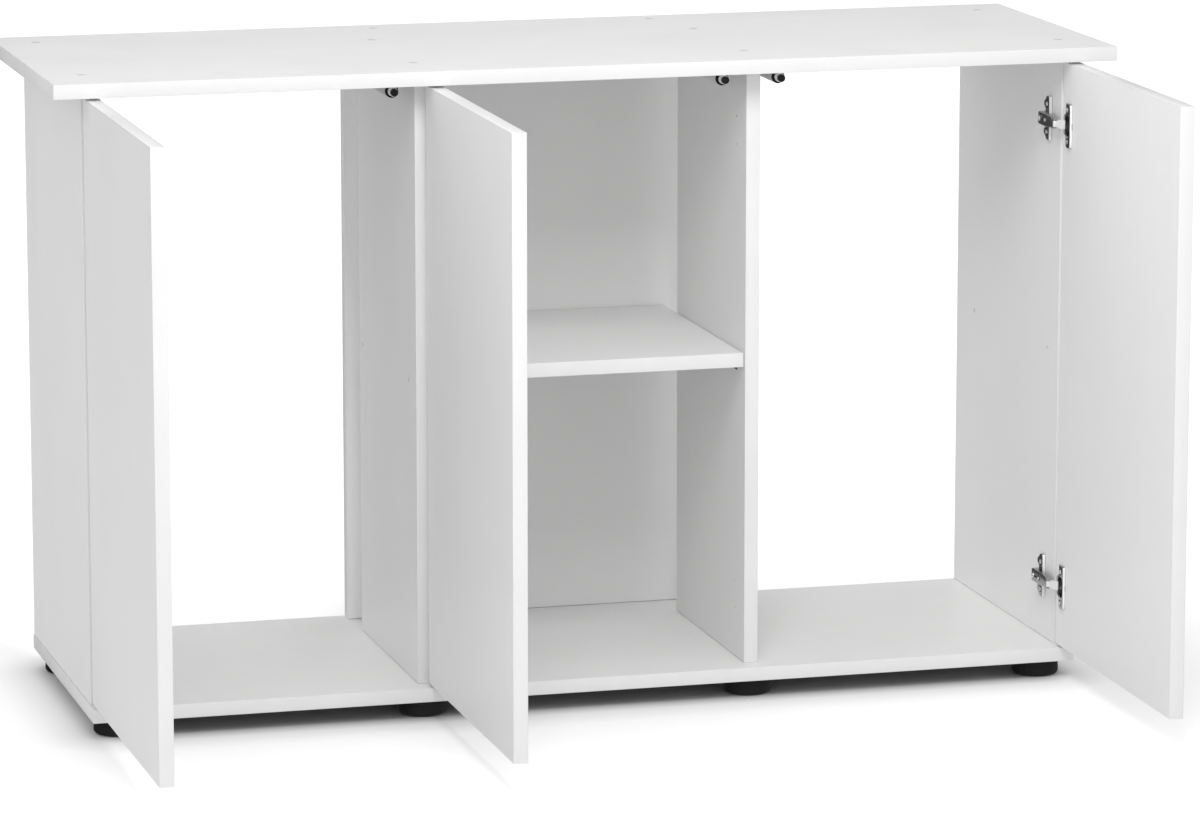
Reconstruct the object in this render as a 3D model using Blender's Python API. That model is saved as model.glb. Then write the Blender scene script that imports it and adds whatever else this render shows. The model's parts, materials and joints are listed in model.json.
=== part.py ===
"""Aquarium stand cabinet: a board carcass, three doors on concealed hinges, push latches, a shelf and feet.

Run it with blender --background --python part.py, or from the text editor. Lengths are in metres, +Z is up,
-Y is the front. The origin is on the floor, under the middle of the space that the stand and its open doors
take up. The doors stand open, as they do when the stand is being plumbed.

Places on a hinge are given in its door's own frame, with the door closed: u runs along the door from its
hinge edge, v runs from the door's inner face into the cabinet, and z is height.
"""

import math
from typing import NamedTuple

import bmesh
import bpy
from mathutils import Matrix, Vector

MM = 0.001
GAP = 0.3 * MM  # left between pieces that touch

# Boards
BOARD = 16 * MM
EDGE_EASE = 0.8 * MM
TOP_WIDTH = 1210 * MM
TOP_DEPTH = 410 * MM
TOP_OVERHANG_SIDE = 35 * MM
TOP_OVERHANG_FRONT = 16 * MM
TOP_OVERHANG_REAR = 16 * MM
INNER_HEIGHT = 678 * MM
SIDE_INSET = 1 * MM  # side panel's outer face, in from the base plate's end
SIDE_SETBACK = 22 * MM  # side panel's front edge, behind the base plate's front edge
DIVIDER_SETBACK = 24 * MM
DIVIDER_DEPTH = 276 * MM
BACK_PANEL_LAP = 4 * MM  # past the dividers' outer faces
BACK_PANEL_RECESS = 6 * MM  # in from the base plate's rear edge
SHELF_SETBACK = 4 * MM  # behind the dividers' front edges
SHELF_END_PLAY = 0.8 * MM
SHELF_LIFT = 1.7 * MM  # shelf's underside over the row of holes at mid height

# Doors
DOOR_COUNT = 3
DOOR_GAP = 4 * MM
DOOR_END_INSET = 2 * MM  # outermost doors' edges, in from the base plate's ends
DOOR_INSET = 4 * MM  # closed doors' outer faces, behind the base plate's front edge
DOOR_PLAY = 3 * MM  # over and under a door

# Feet
FOOT_RADIUS = 27 * MM
FOOT_HEIGHT = 20 * MM
FOOT_ROUND = 4.5 * MM
FOOT_INSET_END = 34 * MM
FOOT_INSET_FRONT = 38 * MM
FOOT_INSET_REAR = 38 * MM

# Drilling
DRILL_SETBACK = 37 * MM  # front column of holes, behind a panel's front edge
SHELF_HOLE_RADIUS = 2.5 * MM
SHELF_HOLE_DEPTH = 6 * MM
SIDE_REAR_COLUMN = 63 * MM  # rear column of holes, in front of a side panel's rear edge
DIVIDER_REAR_COLUMN = 15 * MM
PILOT_RADIUS = 1.5 * MM
PILOT_DEPTH = 5 * MM
PILOT_PITCH = 32 * MM

# Hinges: where they stand, and the axis that the door turns about
HINGE_FROM_DOOR_END = 70 * MM
AXIS_U = 4.25 * MM
AXIS_V = -11.75 * MM
ARM_PIVOT_ANGLE = math.radians(9.6)  # of the arm's pivot, seen from the door's axis
LINK_REACH = 16 * MM  # link's length, and its free end's distance from the door's axis

# Hinge cup
CUP_U = 17.5 * MM
CUP_RADIUS = 13 * MM
CUP_WALL = 0.8 * MM
CUP_DEPTH = 12 * MM
CUP_RIM = 15 * MM
CUP_FLANGE_LENGTH = 50 * MM
CUP_FLANGE_WIDTH = 14 * MM
CUP_FLANGE_THICK = 1.3 * MM

# Hinge link and its pin
LINK_THICK = 1.8 * MM
LINK_HEIGHT = 10 * MM
LINK_NECK = 4.6 * MM  # from the pin to where the link widens
LINK_END_PLAY = 1.5 * MM  # link ends this far short of its open pivot
EYE_RADIUS = 1.9 * MM
PIN_RADIUS = 0.8 * MM

# Hinge arm
ARM_STANDOFF = 12 * MM  # arm's outer face over the panel
ARM_HEIGHT = 14.8 * MM
ARM_DEPTH = 7 * MM
ARM_FORK_HEIGHT = 10 * MM
ARM_FORK_DEPTH = 3 * MM
ARM_FORK_FACE = 1.44 * MM  # fork's outer face, past the pin's centre
ARM_FORK_REACH = 2.1 * MM  # fork's end, past the pin's centre
ARM_WALL = 1.2 * MM
ARM_TAIL = 7 * MM  # arm's rear end, past the mounting plate's middle
ARM_CHANNEL_LENGTH = 29 * MM  # from the rear end, before the arm is cranked and narrows
ARM_CRANK_LENGTH = 12 * MM
ARM_TAPER_LENGTH = 7 * MM  # from the crank to the fork's height
ARM_EYE_ROOM = 1 * MM  # between the link's eye and the channel

# Hinge mounting plate
PLATE_LENGTH = 48 * MM
PLATE_WIDTH = 14 * MM
PLATE_THICK = 3 * MM

# Push latches
LATCH_RADIUS = 7.4 * MM
LATCH_LENGTH = 85 * MM
LATCH_DROP = 9.2 * MM  # axis, below the top plate
LATCH_BEHIND_DOOR = 1 * MM
LATCH_BORE = 5.4 * MM
LATCH_BORE_DEPTH = 36 * MM
LATCH_SADDLE_LENGTH = 60 * MM
LATCH_SADDLE_WIDTH = 9 * MM
LATCH_FROM_DIVIDER = {"left": -34 * MM, "middle": -37 * MM, "right": 28 * MM}
PLUNGER_RADIUS = 5 * MM
PLUNGER_LENGTH = 30 * MM
PLUNGER_TRAVEL = 12.3 * MM
PLUNGER_NOSE = 1 * MM  # bevel round the tip

# Shelf pins
SHELF_PIN_REACH = 6 * MM
SHELF_PIN_WIDTH = 11 * MM
SHELF_PIN_TALL = 8 * MM
SHELF_PIN_STEM_RADIUS = 2.2 * MM
SHELF_PIN_STEM = 5.5 * MM

ROUND_SIDES = 24
SMALL_SIDES = 16

FINISHES = {
    "white_board": ((0.82, 0.82, 0.82), 0.45, 0.0),
    "nickel": ((0.66, 0.65, 0.63), 0.28, 1.0),
    "black_plastic": ((0.015, 0.015, 0.016), 0.5, 0.0),
    "grey_plastic": ((0.36, 0.37, 0.38), 0.5, 0.0),
}

# Heights, from the floor up
BASE_BOTTOM = FOOT_HEIGHT + GAP
BASE_TOP = FOOT_HEIGHT + BOARD
TOP_BOTTOM = BASE_TOP + INNER_HEIGHT
TOP_TOP = TOP_BOTTOM + BOARD
MID_HEIGHT = (BASE_TOP + TOP_BOTTOM) / 2
DOOR_BOTTOM = BASE_TOP + DOOR_PLAY
DOOR_TOP = TOP_BOTTOM - DOOR_PLAY
HINGE_HEIGHTS = {"upper": DOOR_TOP - HINGE_FROM_DOOR_END, "lower": DOOR_BOTTOM + HINGE_FROM_DOOR_END}

# Places across
BASE_HALF_WIDTH = TOP_WIDTH / 2 - TOP_OVERHANG_SIDE
SIDE_OUTER = BASE_HALF_WIDTH - SIDE_INSET
SIDE_INNER = SIDE_OUTER - BOARD
DOOR_ROW = 2 * (BASE_HALF_WIDTH - DOOR_END_INSET)
DOOR_WIDTH = (DOOR_ROW - (DOOR_COUNT - 1) * DOOR_GAP) / DOOR_COUNT
DIVIDER_X = (DOOR_WIDTH + DOOR_GAP) / 2
DIVIDER_INNER = DIVIDER_X - BOARD / 2
DIVIDER_OUTER = DIVIDER_X + BOARD / 2

# Places from front to back. An open door's free edge and the top plate's rear edge are equally far from y = 0
DOOR_AXIS_FROM_TOP_FRONT = TOP_OVERHANG_FRONT + DOOR_INSET + BOARD + AXIS_V
OPEN_DOOR_REACH = DOOR_WIDTH - AXIS_U - DOOR_AXIS_FROM_TOP_FRONT
TOP_FRONT = -(TOP_DEPTH - OPEN_DOOR_REACH) / 2
TOP_REAR = TOP_FRONT + TOP_DEPTH
BASE_FRONT = TOP_FRONT + TOP_OVERHANG_FRONT
BASE_REAR = TOP_REAR - TOP_OVERHANG_REAR
DOOR_BACK = BASE_FRONT + DOOR_INSET + BOARD
SIDE_FRONT = BASE_FRONT + SIDE_SETBACK
DIVIDER_FRONT = BASE_FRONT + DIVIDER_SETBACK
DIVIDER_REAR = DIVIDER_FRONT + DIVIDER_DEPTH
BACK_PANEL_REAR = BASE_REAR - BACK_PANEL_RECESS
BACK_PANEL_FRONT = BACK_PANEL_REAR - BOARD

# The arm's pivot and the link. With the door closed and at a right angle the link's free end is at the same
# place in the door, which makes the door's axis, the pivot and the free end a triangle with a right angle
PIVOT_U = AXIS_U + math.sqrt(2) * LINK_REACH * math.cos(ARM_PIVOT_ANGLE)
PIVOT_V = AXIS_V + math.sqrt(2) * LINK_REACH * math.sin(ARM_PIVOT_ANGLE)
LINK_CLOSED_ANGLE = ARM_PIVOT_ANGLE + math.radians(135)


class Door(NamedTuple):
    """One door: its name, its hand (+1 hinged on the left, -1 on the right) and what its hinges stand on."""

    name: str
    hand: int
    edge_x: float  # hinge edge, when closed
    panel_face: float  # u of the panel face that carries the hinges
    panel_front: float  # v of that panel's front edge
    opening: float  # how far it stands open
    latch_x: float

    def at(self, u, v, z):
        """World place of a point of the door's frame, with the door closed."""
        return Vector((self.edge_x + self.hand * u, DOOR_BACK + v, z))


DOORS = (
    Door(
        "left",
        1,
        -DOOR_ROW / 2,
        DOOR_ROW / 2 - SIDE_INNER,
        SIDE_FRONT - DOOR_BACK,
        math.radians(90),
        -DIVIDER_X + LATCH_FROM_DIVIDER["left"],
    ),
    Door(
        "middle",
        1,
        -DOOR_WIDTH / 2,
        DOOR_WIDTH / 2 - DIVIDER_INNER,
        DIVIDER_FRONT - DOOR_BACK,
        math.radians(90),
        DIVIDER_X + LATCH_FROM_DIVIDER["middle"],
    ),
    Door(
        "right",
        -1,
        DOOR_ROW / 2,
        DOOR_ROW / 2 - SIDE_INNER,
        SIDE_FRONT - DOOR_BACK,
        math.radians(89.5),
        DIVIDER_X + LATCH_FROM_DIVIDER["right"],
    ),
)


def clear_scene():
    for obj in list(bpy.data.objects):
        bpy.data.objects.remove(obj, do_unlink=True)


def make_material(name, finish):
    color, roughness, metallic = FINISHES[finish]
    material = bpy.data.materials.new(name)
    material.use_nodes = True
    shader = material.node_tree.nodes["Principled BSDF"]
    shader.inputs["Base Color"].default_value = (*color, 1)
    shader.inputs["Roughness"].default_value = roughness
    shader.inputs["Metallic"].default_value = metallic
    material.diffuse_color = (*color, 1)
    return material


def add_object(name, bm, finish, parent=None, location=(0, 0, 0), turn=0.0, smooth=False):
    """Puts a closed bmesh in the scene as one named piece with its own material."""
    bmesh.ops.recalc_face_normals(bm, faces=bm.faces)
    mesh = bpy.data.meshes.new(name)
    bm.to_mesh(mesh)
    bm.free()
    if smooth:
        mesh.shade_smooth()
        mesh.set_sharp_from_angle(angle=math.radians(35))
    mesh.materials.append(make_material(name, finish))
    obj = bpy.data.objects.new(name, mesh)
    obj.location = location
    obj.rotation_euler.z = turn
    obj.parent = parent
    bpy.context.collection.objects.link(obj)
    return obj


def combine(obj, bm, operation, label):
    """Cuts a closed bmesh from a piece, or joins it on. It is in the piece's own coordinates."""
    bmesh.ops.recalc_face_normals(bm, faces=bm.faces)
    mesh = bpy.data.meshes.new(f"{obj.name}_{label}")
    bm.to_mesh(mesh)
    bm.free()
    tool = bpy.data.objects.new(mesh.name, mesh)
    tool.parent = obj
    tool.hide_render = True
    tool.display_type = "WIRE"
    bpy.context.collection.objects.link(tool)
    modifier = obj.modifiers.new(label, "BOOLEAN")
    modifier.operation = operation
    modifier.object = tool


def add_turned(bm, profile, frame, sides):
    """Adds a solid turned about the frame's z axis, from (radius, height) points. Both ends are on the axis."""
    rings = []
    for radius, height in profile:
        if radius == 0:
            rings.append([bm.verts.new(frame @ Vector((0, 0, height)))])
            continue
        turns = [2 * math.pi * step / sides for step in range(sides)]
        ring = [Vector((radius * math.cos(turn), radius * math.sin(turn), height)) for turn in turns]
        rings.append([bm.verts.new(frame @ point) for point in ring])
    for below, above in zip(rings, rings[1:]):
        for i in range(sides):
            j = (i + 1) % sides
            walk = ((below, i), (below, j), (above, j), (above, i))
            bm.faces.new(dict.fromkeys(ring[step % len(ring)] for ring, step in walk))


def add_rod(bm, start, end, radius, sides):
    """Adds a round rod between two points."""
    run = end - start
    frame = Matrix.Translation(start) @ run.to_track_quat("Z", "Y").to_matrix().to_4x4()
    add_turned(bm, [(0, 0), (radius, 0), (radius, run.length), (0, run.length)], frame, sides)


def add_prism(bm, outline, along):
    """Adds an outline, as points in space, carried along a vector."""
    near = [bm.verts.new(point) for point in outline]
    far = [bm.verts.new(point + along) for point in outline]
    bm.faces.new(near)
    bm.faces.new(far)
    for i in range(len(outline)):
        j = (i + 1) % len(outline)
        bm.faces.new((near[i], near[j], far[j], far[i]))


def add_cells(bm, grid, cells):
    """Adds the solid that the filled cells of a grid of points, grid[i][j][k], make together."""
    verts = {}
    faces = {}

    def vert(i, j, k):
        if (i, j, k) not in verts:
            verts[i, j, k] = bm.verts.new(grid[i][j][k])
        return verts[i, j, k]

    for i, j, k in cells:
        for shift in (0, 1):
            sides = (
                [(i + shift, j, k), (i + shift, j + 1, k), (i + shift, j + 1, k + 1), (i + shift, j, k + 1)],
                [(i, j + shift, k), (i + 1, j + shift, k), (i + 1, j + shift, k + 1), (i, j + shift, k + 1)],
                [(i, j, k + shift), (i + 1, j, k + shift), (i + 1, j + 1, k + shift), (i, j + 1, k + shift)],
            )
            for side in sides:
                key = frozenset(side)
                if key in faces:
                    del faces[key]
                else:
                    faces[key] = side
    for side in faces.values():
        bm.faces.new([vert(*corner) for corner in side])


def add_board(name, low, high):
    """Adds a white board between two corners, its edges eased, and returns it."""
    low = Vector(low)
    high = Vector(high)
    bm = bmesh.new()
    bmesh.ops.create_cube(bm, size=1)
    bmesh.ops.scale(bm, vec=high - low, verts=bm.verts)
    bmesh.ops.bevel(bm, geom=bm.edges[:], offset=EDGE_EASE, segments=2, profile=0.5, affect="EDGES")
    return add_object(name, bm, "white_board", location=(low + high) / 2)


def drill(board, holes):
    """Drills blind holes in a board: each is (mouth, direction into the board, depth, radius)."""
    bm = bmesh.new()
    for mouth, into, depth, radius in holes:
        start = Vector(mouth) - board.location
        into = Vector(into)
        add_rod(bm, start - into * BOARD, start + into * depth, radius, SMALL_SIDES)
    combine(board, bm, "DIFFERENCE", "holes")


def panel_holes(face_x, into_x, front, rear_column, with_hinges):
    """Holes of one face of an upright panel: a row for a shelf and, if a door can hang there, hinge pilots."""
    into = (into_x, 0, 0)
    column = front + DRILL_SETBACK
    holes = []
    for y in (column, rear_column):
        holes.append(((face_x, y, MID_HEIGHT), into, SHELF_HOLE_DEPTH, SHELF_HOLE_RADIUS))
    if with_hinges:
        for height in HINGE_HEIGHTS.values():
            for offset in (-PILOT_PITCH / 2, PILOT_PITCH / 2):
                holes.append(((face_x, column, height + offset), into, PILOT_DEPTH, PILOT_RADIUS))
    return holes


def build_plates():
    """The top plate and the base plate."""
    half = TOP_WIDTH / 2
    add_board("top_plate", (-half, TOP_FRONT, TOP_BOTTOM), (half, TOP_REAR, TOP_TOP))
    half = BASE_HALF_WIDTH
    add_board("base_plate", (-half, BASE_FRONT, BASE_BOTTOM), (half, BASE_REAR, BASE_TOP))


def build_uprights():
    """The side panels, the dividers and the back panel, which stand between the two plates."""
    low = BASE_TOP + GAP
    high = TOP_BOTTOM - GAP
    for name, hand in (("left", -1), ("right", 1)):
        ends = sorted((hand * SIDE_INNER, hand * SIDE_OUTER))
        side = add_board(f"{name}_side_panel", (ends[0], SIDE_FRONT, low), (ends[1], BASE_REAR, high))
        rear_column = BASE_REAR - SIDE_REAR_COLUMN
        drill(side, panel_holes(hand * SIDE_INNER, hand, SIDE_FRONT, rear_column, True))

        ends = sorted((hand * DIVIDER_INNER, hand * DIVIDER_OUTER))
        divider = add_board(f"{name}_divider", (ends[0], DIVIDER_FRONT, low), (ends[1], DIVIDER_REAR, high))
        rear_column = DIVIDER_REAR - DIVIDER_REAR_COLUMN
        holes = panel_holes(hand * DIVIDER_INNER, hand, DIVIDER_FRONT, rear_column, True)
        holes += panel_holes(hand * DIVIDER_OUTER, -hand, DIVIDER_FRONT, rear_column, False)
        drill(divider, holes)

    half = DIVIDER_OUTER + BACK_PANEL_LAP
    add_board("back_panel", (-half, BACK_PANEL_FRONT, low), (half, BACK_PANEL_REAR, high))


def build_shelf():
    """The middle bay's shelf and the four pins that it rests on."""
    half = DIVIDER_INNER - SHELF_END_PLAY
    bottom = MID_HEIGHT + SHELF_LIFT
    front = DIVIDER_FRONT + SHELF_SETBACK
    rear = BACK_PANEL_FRONT - SHELF_END_PLAY
    add_board("middle_shelf", (-half, front, bottom), (half, rear, bottom + BOARD))

    columns = {"front": DIVIDER_FRONT + DRILL_SETBACK, "rear": DIVIDER_REAR - DIVIDER_REAR_COLUMN}
    for side, hand in (("left", -1), ("right", 1)):
        for place, y in columns.items():
            build_shelf_pin(f"shelf_pin_{side}_{place}", hand, Vector((hand * DIVIDER_INNER, y, MID_HEIGHT)))


def build_shelf_pin(name, hand, hole):
    """A bracket pin: a stem in the divider's hole, and a wedge under the shelf."""
    near = -hand * GAP
    far = near - hand * SHELF_PIN_REACH
    top = SHELF_LIFT - GAP
    toe = top - SHELF_PIN_TALL
    y = -SHELF_PIN_WIDTH / 2
    lip = top - SHELF_PIN_TALL / 4
    bm = bmesh.new()
    outline = [Vector((near, y, top)), Vector((far, y, top)), Vector((far, y, lip)), Vector((near, y, toe))]
    add_prism(bm, outline, Vector((0, SHELF_PIN_WIDTH, 0)))
    pin = add_object(name, bm, "black_plastic", location=hole)
    stem = bmesh.new()
    start = Vector((-hand * (SHELF_END_PLAY - GAP), 0, 0))
    add_rod(stem, start, Vector((hand * SHELF_PIN_STEM, 0, 0)), SHELF_PIN_STEM_RADIUS, SMALL_SIDES)
    combine(pin, stem, "UNION", "stem")


def build_feet():
    """Round feet in two rows: under each end and under each divider."""
    steps = 3
    round_off = [math.pi / 2 * step / steps for step in range(steps + 1)]
    flat = FOOT_RADIUS - FOOT_ROUND
    profile = [(0, 0)]
    profile += [(flat + FOOT_ROUND * math.sin(a), FOOT_ROUND * (1 - math.cos(a))) for a in round_off]
    profile += [(FOOT_RADIUS, FOOT_HEIGHT), (0, FOOT_HEIGHT)]
    end = BASE_HALF_WIDTH - FOOT_INSET_END
    rows = {"front": BASE_FRONT + FOOT_INSET_FRONT, "rear": BASE_REAR - FOOT_INSET_REAR}
    for row, y in rows.items():
        for number, x in enumerate((-end, -DIVIDER_X, DIVIDER_X, end), 1):
            bm = bmesh.new()
            add_turned(bm, profile, Matrix.Identity(4), ROUND_SIDES)
            add_object(f"foot_{row}_{number}", bm, "black_plastic", location=(x, y, 0), smooth=True)


def build_door(door):
    """A door and its two hinge cups, which hang on an empty on the door's axis."""
    axis = bpy.data.objects.new(f"{door.name}_door_axis", None)
    axis.location = door.at(AXIS_U, AXIS_V, 0)
    axis.rotation_euler.z = -door.hand * door.opening
    bpy.context.collection.objects.link(axis)

    def local(u, v, z):
        return Vector((door.hand * (u - AXIS_U), v - AXIS_V, z))

    low = local(0, -BOARD, DOOR_BOTTOM)
    high = local(DOOR_WIDTH, 0, DOOR_TOP)
    ends = sorted((low.x, high.x))
    leaf = add_board(f"{door.name}_door", (ends[0], low.y, low.z), (ends[1], high.y, high.z))
    leaf.parent = axis
    mouths = [local(CUP_U, 0, height) for height in HINGE_HEIGHTS.values()]
    drill_cup_bores(leaf, mouths)
    for (level, height), mouth in zip(HINGE_HEIGHTS.items(), mouths):
        build_hinge_cup(f"{door.name}_{level}_hinge_cup", axis, mouth)


def drill_cup_bores(leaf, mouths):
    """Bores a door for its hinge cups."""
    bm = bmesh.new()
    for mouth in mouths:
        start = mouth - leaf.location
        depth = Vector((0, CUP_DEPTH + GAP, 0))
        add_rod(bm, start + Vector((0, BOARD, 0)), start - depth, CUP_RADIUS + GAP, ROUND_SIDES)
    combine(leaf, bm, "DIFFERENCE", "bores")


def build_hinge_cup(name, axis, mouth):
    """A hinge cup: a round pot in the door, a rim, and a long flange with round ends that is screwed down."""
    out = Matrix.Rotation(-math.pi / 2, 4, "X")  # turns z to +y, out of the door
    top = GAP + CUP_FLANGE_THICK
    bm = bmesh.new()
    profile = [(0, -CUP_DEPTH), (CUP_RADIUS, -CUP_DEPTH), (CUP_RADIUS, GAP)]
    profile += [(CUP_RIM, GAP), (CUP_RIM, top), (0, top)]
    add_turned(bm, profile, out, ROUND_SIDES)
    cup = add_object(name, bm, "nickel", parent=axis, location=mouth, smooth=True)

    radius = CUP_FLANGE_WIDTH / 2
    straight = CUP_FLANGE_LENGTH / 2 - radius
    outline = []
    for end in (1, -1):
        for step in range(SMALL_SIDES // 2 + 1):
            turn = math.pi * step / (SMALL_SIDES // 2) + (0 if end == 1 else math.pi)
            outline.append(Vector((radius * math.cos(turn), GAP, end * straight + radius * math.sin(turn))))
    flange = bmesh.new()
    add_prism(flange, outline, Vector((0, CUP_FLANGE_THICK, 0)))
    combine(cup, flange, "UNION", "flange")

    pocket = bmesh.new()
    add_rod(
        pocket,
        Vector((0, CUP_WALL - CUP_DEPTH, 0)),
        Vector((0, 2 * top, 0)),
        CUP_RADIUS - CUP_WALL,
        ROUND_SIDES,
    )
    combine(cup, pocket, "DIFFERENCE", "pocket")


def build_hinge(door, level):
    """The hinge pieces outside the door: mounting plate, arm, pin and link."""
    height = HINGE_HEIGHTS[level]
    stem = f"{door.name}_{level}_hinge"
    build_hinge_plate(f"{stem}_plate", door, height)
    build_hinge_arm(f"{stem}_arm", door, height)
    pivot = door.at(PIVOT_U, PIVOT_V, height)
    bm = bmesh.new()
    half = Vector((0, 0, ARM_FORK_HEIGHT / 2 - ARM_WALL - GAP))
    add_rod(bm, -half, half, PIN_RADIUS, SMALL_SIDES)
    add_object(f"{stem}_pin", bm, "nickel", location=pivot, smooth=True)
    build_hinge_link(f"{stem}_link", door, pivot)


def build_hinge_plate(name, door, height):
    """A mounting plate: two wings that are screwed to the panel, and a block that the arm clips over."""
    middle = door.panel_front + DRILL_SETBACK
    block_height = ARM_HEIGHT / 2 - ARM_WALL - GAP
    block_top = ARM_STANDOFF - ARM_WALL - GAP
    us = [door.panel_face + u for u in (GAP, GAP + PLATE_THICK, block_top)]
    vs = [middle - PLATE_WIDTH / 2, middle + PLATE_WIDTH / 2]
    zs = [height + z for z in (-PLATE_LENGTH / 2, -block_height, block_height, PLATE_LENGTH / 2)]
    grid = [[[door.at(u, v, z) for z in zs] for v in vs] for u in us]
    bm = bmesh.new()
    add_cells(bm, grid, [(0, 0, 0), (0, 0, 1), (0, 0, 2), (1, 0, 1)])
    add_object(name, bm, "nickel")


def build_hinge_arm(name, door, height):
    """An arm: a channel, open towards the panel, that narrows to a fork and is cranked to reach the pivot."""
    tail = door.panel_front + DRILL_SETBACK + ARM_TAIL
    rear_face = door.panel_face + ARM_STANDOFF
    fork_face = PIVOT_U + ARM_FORK_FACE
    crank_start = tail - ARM_CHANNEL_LENGTH
    crank_end = crank_start - ARM_CRANK_LENGTH
    neck_height = (ARM_HEIGHT + ARM_FORK_HEIGHT) / 2
    neck_depth = ARM_DEPTH / 4 + ARM_FORK_DEPTH * 3 / 4
    fork_root = PIVOT_V + EYE_RADIUS + ARM_EYE_ROOM
    stations = (  # v, outer face, height, depth
        (tail, rear_face, ARM_HEIGHT, ARM_DEPTH),
        (crank_start, rear_face, ARM_HEIGHT, ARM_DEPTH),
        (crank_end, fork_face - ARM_EYE_ROOM, neck_height, neck_depth),
        (crank_end - ARM_TAPER_LENGTH, fork_face, ARM_FORK_HEIGHT, ARM_FORK_DEPTH),
        (fork_root, fork_face, ARM_FORK_HEIGHT, ARM_FORK_DEPTH),
        (PIVOT_V - ARM_FORK_REACH, fork_face, ARM_FORK_HEIGHT, ARM_FORK_DEPTH),
    )
    grid = []
    for v, face, tall, depth in stations:
        half = tall / 2
        zs = [height + z for z in (-half, ARM_WALL - half, half - ARM_WALL, half)]
        grid.append([[door.at(u, v, z) for z in zs] for u in (face - depth, face - ARM_WALL, face)])
    last = len(stations) - 2
    cells = [(i, j, k) for i in range(len(stations) - 1) for j in (0, 1) for k in (0, 2)]
    cells += [(i, 1, 1) for i in range(last)]
    bm = bmesh.new()
    add_cells(bm, grid, cells)
    add_object(name, bm, "nickel")


def build_hinge_link(name, door, pivot):
    """A link: an eye round the pin, and a plate that reaches into the cup. Its origin is on the pin."""
    eye_half = ARM_FORK_HEIGHT / 2 - ARM_WALL - 1.5 * GAP
    bm = bmesh.new()
    add_rod(bm, Vector((0, 0, -eye_half)), Vector((0, 0, eye_half)), EYE_RADIUS, SMALL_SIDES)
    angle = LINK_CLOSED_ANGLE + door.opening
    turn = angle if door.hand == 1 else math.pi - angle
    link = add_object(name, bm, "nickel", location=pivot, turn=turn, smooth=True)

    xs = [PIN_RADIUS + 2 * GAP, LINK_NECK, LINK_REACH - LINK_END_PLAY]
    ys = [-LINK_THICK / 2, LINK_THICK / 2]
    zs = [-LINK_HEIGHT / 2, -eye_half, eye_half, LINK_HEIGHT / 2]
    grid = [[[Vector((x, y, z)) for z in zs] for y in ys] for x in xs]
    plate = bmesh.new()
    add_cells(plate, grid, [(0, 0, 1), (1, 0, 0), (1, 0, 1), (1, 0, 2)])
    combine(link, plate, "UNION", "plate")

    bore = bmesh.new()
    through = Vector((0, 0, LINK_HEIGHT))
    add_rod(bore, -through, through, PIN_RADIUS + GAP, SMALL_SIDES)
    combine(link, bore, "DIFFERENCE", "bore")


def build_latch(door):
    """A push latch under the top plate: a round housing on a saddle, and the plunger that the door meets."""
    back = Matrix.Rotation(-math.pi / 2, 4, "X")  # turns z to +y, into the cabinet
    front = DOOR_BACK + LATCH_BEHIND_DOOR
    place = Vector((door.latch_x, front, TOP_BOTTOM - LATCH_DROP))
    bm = bmesh.new()
    profile = [(0, LATCH_BORE_DEPTH), (LATCH_BORE, LATCH_BORE_DEPTH), (LATCH_BORE, 0)]
    profile += [(LATCH_RADIUS, 0), (LATCH_RADIUS, LATCH_LENGTH), (0, LATCH_LENGTH)]
    add_turned(bm, profile, back, ROUND_SIDES)
    housing = add_object(f"{door.name}_latch_housing", bm, "grey_plastic", location=place, smooth=True)

    saddle = bmesh.new()
    y = (LATCH_LENGTH - LATCH_SADDLE_LENGTH) / 2
    half = LATCH_SADDLE_WIDTH / 2
    foot = LATCH_BORE + 0.3 * (LATCH_RADIUS - LATCH_BORE)
    corners = ((-half, foot), (half, foot), (half, LATCH_DROP - GAP), (-half, LATCH_DROP - GAP))
    add_prism(saddle, [Vector((x, y, z)) for x, z in corners], Vector((0, LATCH_SADDLE_LENGTH, 0)))
    combine(housing, saddle, "UNION", "saddle")

    tip = place - Vector((0, LATCH_BEHIND_DOOR - GAP + PLUNGER_TRAVEL, 0))
    bm = bmesh.new()
    profile = [(0, 0), (PLUNGER_RADIUS - PLUNGER_NOSE, 0), (PLUNGER_RADIUS, PLUNGER_NOSE)]
    profile += [(PLUNGER_RADIUS, PLUNGER_LENGTH), (0, PLUNGER_LENGTH)]
    add_turned(bm, profile, back, ROUND_SIDES)
    add_object(f"{door.name}_latch_plunger", bm, "black_plastic", location=tip, smooth=True)


def main():
    clear_scene()
    build_plates()
    build_uprights()
    build_shelf()
    build_feet()
    for door in DOORS:
        build_door(door)
        for level in HINGE_HEIGHTS:
            build_hinge(door, level)
        build_latch(door)


main()
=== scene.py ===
"""Looks of an aquarium stand cabinet: white boards and their edging, hinges, push latches, feet, and the studio.

Lengths are in metres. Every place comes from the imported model; this script adds the finishes and the finer pieces.
"""

from __future__ import annotations

import functools
import json
import logging
import math
import operator
from collections.abc import Iterable
from dataclasses import dataclass
from enum import Enum

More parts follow.
